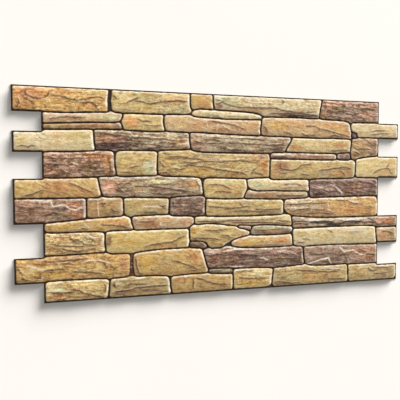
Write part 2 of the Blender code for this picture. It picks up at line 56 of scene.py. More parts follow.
STONES = {
    # course 1, top
    "a1": (3.7, [(8, 476.5), (110, 477), (200, 477), (204.5, 474), (206, 462), (205, 440), (204, 431), (200, 428.5), (165, 427.8), (125, 426.5), (75, 426), (25, 426.3), (12, 427), (5.5, 432), (5, 472)]),
    "a2": (3.5, [(217, 475.5), (300, 476.5), (389, 476.5), (393, 472), (394, 456), (398, 438), (395, 434), (380, 430.5), (340, 428.8), (290, 428.3), (240, 428.3), (221, 429.5), (213, 437), (209.5, 453), (213, 466)]),
    "a3": (3.3, [(402, 474.5), (449, 475.3), (452, 470), (455, 445), (451, 443), (438, 444.3), (422, 444.8), (410, 443.5), (402, 444.5), (400, 452)]),
    "a4": (3.8, [(459, 476.5), (560, 477), (650, 477), (739, 476.5), (743.5, 473), (741.5, 459), (738, 445), (736.5, 433), (715, 431), (690, 433), (655, 432.5), (620, 432), (588, 432.3), (578, 436), (565, 439.2), (535, 441), (500, 442.7), (470, 443.3), (458, 444), (455.8, 458), (456, 473)]),
    "a5": (3.4, [(753, 477), (830, 477.3), (910, 477), (915.5, 472), (916, 450), (915.5, 430), (911, 426), (870, 425), (838, 425), (820, 427), (795, 428.8), (765, 429.5), (747, 431), (744, 437), (746, 452), (750, 469)]),
    # course 2
    "b1": (3.2, [(401, 430.5), (410, 436.5), (422, 439.7), (450, 439.5), (490, 438), (535, 437.7), (555, 435.7), (571, 432.7), (577.5, 429), (577, 424.7), (560, 422.7), (525, 422.3), (485, 421.8), (468, 423.3), (440, 424), (418, 424.3), (407, 426.3)]),
    "b2": (3.6, [(68, 420.3), (90, 419.5), (115, 419.5), (140, 421), (165, 423.3), (195, 424.9), (222, 424.7), (234, 424), (236.3, 421), (233, 415), (226, 409.5), (216, 406.2), (200, 405.2), (175, 405), (150, 404.2), (125, 402.7), (100, 401.3), (75, 400.3), (68, 401), (66, 405), (66.2, 415)]),
    "b3": (3.1, [(69, 395.7), (90, 397.7), (125, 398.9), (155, 400.5), (185, 401.6), (215, 401.7), (229, 401), (232.5, 398), (235.5, 392.5), (232, 390.3), (195, 390), (160, 390.5), (125, 389), (90, 388.5), (70, 389), (66.2, 392)]),
    "b4": (3.6, [(241, 422.8), (262, 424.2), (300, 423.5), (327, 424), (330.5, 420.5), (330.5, 405), (332.7, 391), (330, 388.3), (300, 387.8), (262, 388.3), (244, 389.7), (239.8, 394), (238.7, 408)]),
    "b5": (3.8, [(338, 423.8), (360, 425), (385, 424), (410, 421.5), (440, 419.7), (485, 418.3), (530, 418.8), (565, 419.3), (574.5, 418.5), (576, 413), (574, 400), (573.7, 387), (569, 384), (530, 384.5), (490, 386), (455, 387), (425, 388.3), (390, 388), (352, 388.8), (340, 391), (335.6, 400), (335, 414)]),
    "b6": (3.9, [(587, 424.3), (610, 426.3), (655, 426.8), (700, 426.3), (745, 425.3), (790, 424.7), (813, 423.3), (822.5, 419.5), (826.5, 408), (830.5, 392), (832, 385), (828, 381.7), (800, 381.7), (782, 383.2), (765, 381.8), (720, 381.8), (680, 383), (640, 383.2), (600, 383.5), (587, 384.7), (581.8, 389), (580.7, 400), (583, 415)]),
    "b7": (3.4, [(840, 419), (870, 420.3), (920, 420), (965, 419.7), (973.5, 417.3), (975.5, 408), (975, 393), (971.5, 387), (930, 386.3), (885, 385.8), (858, 385.5), (853.5, 388.5), (852, 395), (845, 398.3), (839, 401), (837.5, 409)]),
    "b8": (2.2, [(840, 393.3), (848.5, 392), (850.3, 387.5), (847.5, 382.8), (840.5, 382.5), (837.3, 387.3)]),
    # course 3
    "c1": (3.6, [(8, 378.8), (50, 379.3), (75, 381), (110, 382.6), (150, 384.3), (165, 384.3), (169.7, 380.5), (170.7, 368), (170.3, 355), (172.3, 344.5), (168.5, 341), (140, 339.5), (100, 338.4), (60, 338.3), (18, 338.3), (8, 340.3), (4.3, 346), (4.3, 374)]),
    "c2": (3.3, [(178, 385), (200, 386), (235, 385.7), (265, 384.3), (300, 383.3), (335, 384), (370, 383.5), (389.5, 382.7), (391.7, 377), (391, 362), (393, 353), (390.5, 348.7), (375, 347.3), (345, 346), (310, 344.7), (270, 344.3), (230, 343.7), (196, 343.5), (182, 344.3), (178.3, 349), (176.3, 362), (175.3, 376)]),
    "c3": (3.5, [(401, 383.8), (425, 384.2), (447, 382.3), (480, 381.7), (520, 380.7), (560, 379.7), (600, 378.8), (640, 378.8), (653, 378), (657, 373.5), (653.5, 366), (646.5, 355), (640, 345.5), (632, 343.5), (605, 343.7), (585, 341.5), (540, 341.3), (490, 341.5), (450, 341.5), (426, 342), (411, 344.3), (403.3, 349.5), (401, 360), (399.3, 374)]),
    "c4": (3.7, [(667, 376.8), (700, 377), (740, 376.2), (785, 376.6), (819, 376), (827.5, 373), (830, 366), (829, 353), (825.5, 347), (817, 344.5), (795, 344.3), (765, 343), (730, 343.3), (690, 343.8), (655, 344.3), (649.8, 346.7), (656.5, 357), (663, 367)]),
    "c5": (3.5, [(844, 377.8), (860, 380.3), (885, 380.9), (906, 380.4), (912.5, 376.5), (911.5, 360), (910.3, 346), (910.5, 339), (902, 336.7), (885, 335.2), (866, 333), (850, 330.5), (841, 329.8), (836.2, 333), (836, 346), (838, 362), (840, 373)]),
    "c6": (2.9, [(612, 338.6), (660, 339.3), (720, 338.3), (760, 338), (783, 337), (789, 334.3), (789, 330), (785, 327), (760, 325.9), (720, 326.4), (680, 327), (650, 327.6), (628, 328.3), (612, 329.3), (607.5, 333)]),
    "c7": (2.7, [(798, 338.3), (812, 340), (824, 340), (828.8, 336.5), (829.7, 330.7), (826, 327), (805, 326.8), (796.5, 328.7), (793.5, 333)]),
    # course 4
    "d1": (3.5, [(70, 333.7), (85, 335), (120, 334.7), (150, 336), (185, 337.7), (207, 337.6), (211.5, 334.5), (212.5, 322), (214, 308), (216.7, 294), (215.7, 287), (208, 285), (180, 284.8), (150, 282.5), (115, 281.3), (80, 281.6), (69, 283.3), (66, 289), (65.5, 305), (66.5, 326)]),
    "d2": (3.4, [(229, 337.5), (245, 338.9), (275, 339), (303, 338.5), (310.5, 336.5), (313.7, 330), (313, 310), (312.3, 292), (309.5, 286), (290, 285.2), (265, 284.4), (241, 283.8), (230.5, 285.2), (226, 293), (224, 308), (225, 325)]),
    "d3": (3.9, [(326, 338.7), (340, 340.5), (368, 341.3), (390, 342), (405, 339.7), (425, 337), (460, 335.7), (500, 335.4), (550, 335), (588, 335.3), (596.5, 333), (598.7, 325), (598.3, 305), (597.8, 288), (594, 282.3), (575, 280.7), (540, 279.3), (500, 280), (460, 281), (425, 281.6), (390, 282.4), (352, 283.2), (334, 284.5), (324, 289), (320.6, 300), (321.3, 318), (322.7, 332)]),
    "d4": (3.7, [(607.5, 321), (650, 321.8), (700, 321.5), (750, 320.6), (800, 320.8), (831, 320.4), (840, 317.3), (842.7, 309), (842, 298), (839.5, 285), (836, 280.6), (800, 280), (760, 279), (725, 278), (700, 277.2), (670, 278), (640, 276.2), (616, 276.3), (607.5, 279.5), (606.5, 295), (607, 309)]),
    "d5": (3.6, [(854, 324.5), (869, 327.7), (888, 330.7), (915, 332.2), (945, 331.7), (967, 331.6), (974.5, 327), (975.5, 305), (975, 287), (971, 281.8), (940, 281), (905, 281), (872, 281), (858.5, 281.7), (852.8, 287), (851.5, 305)]),
    # course 5
    "e1": (3.6, [(9, 274.3), (50, 273.8), (100, 274.5), (150, 275.8), (174, 275.4), (177.6, 272), (179, 260), (181.2, 247), (181.5, 239.5), (177, 237.5), (150, 237.3), (120, 236), (85, 235), (55, 235.3), (25, 236), (10, 235.7), (5.8, 239), (5.8, 255), (5.8, 271)]),
    "e2": (3.4, [(188, 277.5), (198, 279), (222, 277.9), (250, 278.8), (285, 280), (330, 279.4), (375, 278.9), (404, 278.3), (415, 276), (419.3, 267), (421.3, 257), (423, 247.5), (421, 241.7), (410, 239), (385, 238), (350, 236.5), (320, 235.8), (285, 236), (250, 237), (225, 238), (209, 237.3), (201, 238.8), (194.7, 245.3), (190.3, 256), (187, 268)]),
    "e3": (3.6, [(437.5, 274), (460, 274.7), (490, 273.6), (520, 272.5), (534.5, 272.3), (538, 268), (537.4, 256), (533.7, 243.5), (529.8, 233), (524, 230.4), (500, 229.6), (475, 230), (452, 231.3), (442.5, 232.8), (436.7, 239), (434, 250), (433.6, 263)]),
    "e4": (3.5, [(548, 272), (562, 274), (594, 274.1), (603, 271.3), (616, 269.3), (650, 270), (690, 270.5), (702, 270), (706.2, 266.5), (705.3, 259), (707.5, 251.5), (704, 247.4), (670, 247.3), (640, 247.2), (610, 249), (585, 248.2), (567, 248), (557.3, 252), (549.6, 258), (546.4, 264.5)]),
    "e5": (3.0, [(545, 243.2), (558, 242.3), (590, 241.6), (620, 242.2), (655, 241), (690, 240.2), (701, 240), (703.8, 236), (703.2, 230.7), (699, 228.7), (665, 228.2), (625, 229), (590, 228.5), (552, 229), (540, 229.6), (539.3, 233.5)]),
    "e6": (3.7, [(719.5, 270), (745, 271.3), (790, 271), (825, 272), (850, 274.3), (880, 273.7), (903, 273.2), (910.5, 269), (912.8, 258), (912.3, 243), (911.8, 236), (906, 232.4), (870, 232.2), (830, 231.8), (790, 231.7), (755, 230.7), (727, 229.7), (718.7, 232.3), (718, 243), (717, 255), (717.3, 264)]),
    # course 6
    "f1": (3.6, [(9, 229.6), (40, 230.4), (90, 230.2), (130, 229.6), (147, 229.6), (150.3, 226), (150.3, 208), (150.3, 193), (147, 188.2), (125, 185.8), (100, 183.2), (75, 181.2), (45, 180.5), (17, 180.5), (9, 184), (5.5, 191), (5.5, 210), (5.5, 225)]),
    "f2": (3.3, [(161, 228.7), (180, 229.2), (205, 230.7), (226, 230.7), (231.6, 228), (233.6, 221), (233.2, 205), (231.8, 195.5), (228, 192.2), (205, 191.5), (181, 190.4), (164.5, 189.7), (159.3, 192.5), (159.2, 208), (159.2, 224)]),
    "f3": (3.5, [(245, 228.6), (262, 229.5), (295, 228.7), (322, 227), (339, 225.7), (342, 220.5), (340.8, 207), (338.8, 196.5), (335, 193.8), (318, 194.3), (295, 193), (265, 192), (251, 192), (244.8, 195.7), (242.5, 206), (242, 220)]),
    "f4": (3.7, [(351.5, 226.3), (365, 229.2), (383, 231), (402, 231.4), (420, 230), (429, 227), (431, 222.3), (429.8, 208), (429.3, 195), (427, 189.8), (412, 188.7), (392, 189.5), (371, 190), (356, 190.8), (350.3, 194.5), (348.6, 205), (348.9, 218)]),
    "f5": (3.5, [(441, 224), (465, 223.9), (500, 222.3), (540, 222.6), (580, 221.6), (613, 219.9), (630.5, 219.3), (634.5, 215), (636, 204), (634.6, 193), (631.5, 188), (610, 187.3), (575, 186.3), (540, 185.7), (500, 186.6), (465, 187.3), (443.5, 187.7), (438.5, 191), (438, 205), (438.8, 219)]),
    "f6": (3.8, [(649, 219), (665, 221.3), (700, 222.3), (740, 223.2), (790, 223.5), (830, 225.3), (870, 226), (901, 225.8), (908.3, 222.7), (910.5, 213), (913, 203), (911.6, 190), (910, 181.7), (903, 177.7), (860, 177), (810, 176.7), (760, 177), (725, 178.3), (700, 180.3), (682, 182), (669, 185), (656, 191), (648.3, 198.5), (646, 208)]),
    # course 7
    "g1": (3.1, [(669, 176.7), (690, 176), (715, 173.5), (745, 172.3), (790, 171.8), (835, 172), (880, 171.7), (905, 171.9), (925, 173), (955, 173.2), (970, 172.4), (975.3, 168), (975.5, 157), (972.5, 151.5), (955, 149.7), (930, 150), (905, 151.7), (875, 153), (840, 152.6), (800, 152.2), (760, 152.7), (720, 152.5), (687, 152), (673.5, 153.3), (668.5, 158.5), (667.7, 168)]),
    "h1": (3.5, [(70, 176), (90, 178.3), (125, 180.5), (160, 183), (200, 185.8), (233, 187.3), (244.5, 186.7), (248.5, 181.5), (252, 171), (255.3, 163), (252, 160.2), (235, 160.8), (212, 161.2), (185, 158.8), (150, 159.5), (115, 160.2), (89, 159.4), (76, 160.5), (70, 164), (67, 170)]),
    "h2": (3.4, [(263.5, 187), (285, 188.2), (315, 188.6), (337, 188.7), (350, 185.3), (375, 184.3), (396, 184.2), (401.5, 181.5), (403, 176), (399.5, 170.7), (393.5, 167), (389, 162), (384, 159.3), (355, 159.2), (320, 159.6), (290, 159.2), (270, 159), (264.6, 164), (261.5, 174), (261.5, 183)]),
    "h3": (3.1, [(413.5, 183), (440, 181.8), (480, 180.3), (520, 180.3), (560, 180.5), (600, 181.3), (635, 181.3), (652, 179.8), (657.8, 175), (661, 166), (661, 160), (656, 157.8), (640, 159), (620, 162), (590, 163.3), (560, 162.8), (525, 163.5), (495, 165.6), (470, 169.7), (450, 172.2), (430, 172), (413, 170), (409.8, 174), (410.6, 180.7)]),
    # course 8
    "i1": (3.5, [(68, 152), (100, 151.8), (140, 153.2), (175, 153.2), (186, 151.3), (188.7, 146), (188.2, 130), (189.6, 116), (187.5, 111.6), (177, 112.4), (160, 110.6), (130, 109), (95, 108.5), (69, 108.5), (65, 112), (64.8, 130), (65, 148)]),
    "i2": (3.8, [(206, 152), (225, 153.2), (265, 153.9), (310, 154.6), (355, 155), (383, 154.4), (388.7, 150), (389.2, 135), (389.2, 119), (385.7, 113), (350, 112.7), (315, 112), (280, 109), (245, 107), (216, 106.5), (207, 108.7), (202.5, 116), (201, 132), (201.5, 147)]),
    "i3": (3.9, [(401, 158), (409, 160.7), (435, 161.7), (468, 160.7), (495, 157), (520, 152.5), (536, 148.3), (544.5, 143.7), (545, 140.7), (538, 137.8), (522, 134.4), (505, 130), (492, 124.2), (482, 120.8), (476, 114), (469.5, 109.5), (457, 109), (448.5, 111.3), (444, 118), (438, 124.8), (428, 128.4), (411, 129.5), (402, 130), (399, 134.5), (399, 150)]),
    "i4": (2.6, [(398.5, 121.2), (414, 122), (425.5, 120.3), (432, 115.3), (434.5, 111.4), (429, 110.2), (411, 110.8), (399, 111.8), (397, 116)]),
    "i5": (3.0, [(558, 155), (573, 156.8), (600, 156.7), (630, 154.8), (650, 153.8), (659.5, 150.8), (662, 147), (658, 142.8), (650, 140), (625, 138.5), (590, 138), (564, 139), (554, 140.2), (552, 143.3), (556, 148.7)]),
    "i6": (2.3, [(519, 158.6), (535, 158.2), (549.5, 156), (551.5, 152.7), (547.5, 151.2), (534, 153.6), (521, 156.2)]),
    "i7": (3.5, [(505, 120), (517, 124.7), (533, 128.7), (555, 130.3), (590, 130.6), (630, 130.6), (654, 130.2), (659.7, 126.8), (661, 117), (659.8, 109.8), (653, 107.5), (620, 107.3), (580, 107), (546, 107.8), (521, 109.7), (508.5, 112.6), (504.3, 116)]),
    "i8": (3.6, [(673, 144.3), (700, 145), (740, 146.2), (790, 147.5), (845, 147.6), (883, 147.2), (899.5, 145.3), (906.5, 139.5), (909, 125), (909.8, 109.7), (906, 104.7), (870, 104), (820, 104.4), (770, 105.2), (720, 105), (682, 104.8), (672.5, 108), (671, 122), (671, 140)]),
    "i9": (3.4, [(919.5, 139), (945, 139.8), (968, 139.4), (974.5, 136.3), (975.8, 124), (974, 112), (968.5, 108.5), (945, 107.8), (924.5, 108.2), (919.3, 112.2), (916.7, 124), (916.7, 135.7)]),
    # course 9
    "j1": (3.9, [(8, 99), (35, 99.9), (62, 101.3), (100, 102.3), (150, 102.7), (183, 102.7), (205, 101), (235, 100.4), (244, 99.2), (246.7, 94), (246.2, 75), (244.7, 58.5), (240.5, 52.5), (215, 51.2), (175, 51.4), (135, 51.2), (103, 52), (70, 50.3), (40, 51), (16, 50), (7.3, 52.7), (4, 60), (4, 90)]),
    "j2": (3.9, [(267.5, 100.7), (290, 104.3), (320, 106.7), (355, 107.7), (394, 107.7), (415, 106.8), (421.6, 102.5), (425.4, 90), (429.8, 72), (434, 57), (432.5, 51.8), (420, 51), (400, 51.3), (380, 49.3), (352, 48), (336, 49.8), (315, 51.8), (286, 51.6), (272, 51.7), (266.5, 55.5), (264, 75), (264.5, 94)]),
    "j3": (3.5, [(436, 102.7), (455, 104), (478, 103.3), (492, 104.7), (508, 104), (530, 101.5), (565, 100.2), (605, 99.5), (650, 100), (681.5, 99.8), (689.7, 97), (691.5, 85), (693.3, 71), (694.6, 61), (690.5, 57.5), (660, 55.8), (625, 54.7), (600, 54.4), (570, 56), (535, 57.5), (505, 58), (475, 59), (454, 59.5), (445.7, 62), (441.7, 71), (438.2, 84), (434.8, 94)]),
    "j4": (3.6, [(705, 98.3), (735, 99.8), (775, 100.3), (811, 100.2), (835, 98.3), (870, 97.6), (895, 96.8), (908.5, 96.2), (913, 92), (913.5, 75), (913, 59), (909, 54), (880, 52.6), (840, 52.9), (800, 52.4), (765, 52.6), (736, 52.4), (720, 53), (711, 57), (704.5, 64), (702.3, 75), (702.3, 90)]),
    "j5": (2.4, [(448, 54.6), (470, 54), (493, 53.3), (500.5, 51.7), (501, 47), (496, 44.9), (470, 46), (450, 47.6), (446, 50)]),
    # course 10, bottom
    "k1": (3.7, [(69, 46.6), (100, 46.2), (140, 46), (180, 45.5), (193, 43.3), (198.6, 36), (199, 24), (196, 12), (191, 5.6), (160, 3.8), (120, 3.5), (81, 3.5), (69, 4.7), (66, 13), (66, 36)]),
    "k2": (3.5, [(214.5, 43.3), (240, 44.2), (272, 44.7), (297, 45.3), (315, 43.2), (333, 42.3), (338.6, 39.3), (341, 25), (343, 11.5), (340.5, 6), (310, 4.6), (265, 4.4), (226, 4.6), (212, 5.2), (208.3, 11), (208, 24), (210.5, 36.5)]),
    "k3": (3.4, [(356, 41.3), (380, 42.4), (410, 42.8), (445, 41.8), (480, 40.3), (496.5, 38.8), (500.3, 35), (501, 22), (499.5, 9.7), (494.5, 6.3), (450, 5.6), (400, 5.5), (364, 5.3), (356, 7.2), (353.3, 17), (353.6, 33)]),
    "k4": (3.5, [(511, 49), (540, 49.8), (570, 49.6), (595, 48.6), (605, 46.5), (608, 40), (606.3, 28), (603, 15.5), (597.5, 10.5), (580, 7.8), (550, 6), (517, 6), (510.3, 8.7), (509.3, 22), (509.3, 41)]),
    "k5": (3.7, [(619.5, 46.5), (645, 48), (675, 50.2), (697, 51.8), (714, 49.7), (735, 47.2), (765, 45.7), (795, 46.3), (815, 47.5), (821, 45), (823, 32), (823, 15), (821, 8.3), (790, 6.6), (750, 6.7), (715, 7.2), (680, 6.2), (642, 6), (620, 6.6), (615, 10.5), (614.2, 25), (616, 39)]),
    "k6": (3.4, [(834, 44.6), (860, 43.8), (890, 42.7), (925, 41.7), (956, 40.8), (968.5, 39.8), (972.7, 35), (972.3, 20), (969.5, 9.7), (963.5, 5.8), (925, 5), (880, 4.7), (842, 5), (834, 7), (831.7, 20), (831.7, 39)]),
}

# Printed colours, sRGB out of 255.
PALETTE = {
    "white": (240, 230, 208), "cream": (229, 212, 168), "palegreen": (208, 206, 162),
    "palegrey": (198, 186, 164), "sand": (220, 199, 146), "yellow": (224, 198, 128),
    "khaki": (204, 181, 124), "olive": (168, 148, 92), "ochre": (210, 174, 110),
    "gold": (212, 173, 92), "tan": (206, 167, 114), "peach": (212, 163, 122),
    "orange": (212, 159, 102), "rust": (184, 132, 92), "redorange": (198, 138, 104),
    "salmon": (206, 160, 134), "pink": (216, 186, 166), "brown": (142, 106, 70),
    "redbrown": (158, 110, 84), "mauvetan": (176, 143, 122), "mauve": (154, 125, 110),
    "plum": (134, 106, 97), "purple": (110, 84, 79), "darkpurple": (84, 61, 57),
    "buff": (208, 177, 136), "rosegrey": (184, 158, 142), "grey": (164, 148, 122), "greyolive": (136, 122, 92), "dark": (54, 40, 32),
    "dusk": (84, 66, 67), "mauvegrey": (136, 110, 106),
}
JOINT = (34, 20, 9)
# Painted highlight colour for the stones' rims and for the lit lips and raised edges of the lines.
RIM_HIGHLIGHT = (252, 242, 224)
CRACK = (78, 50, 28)

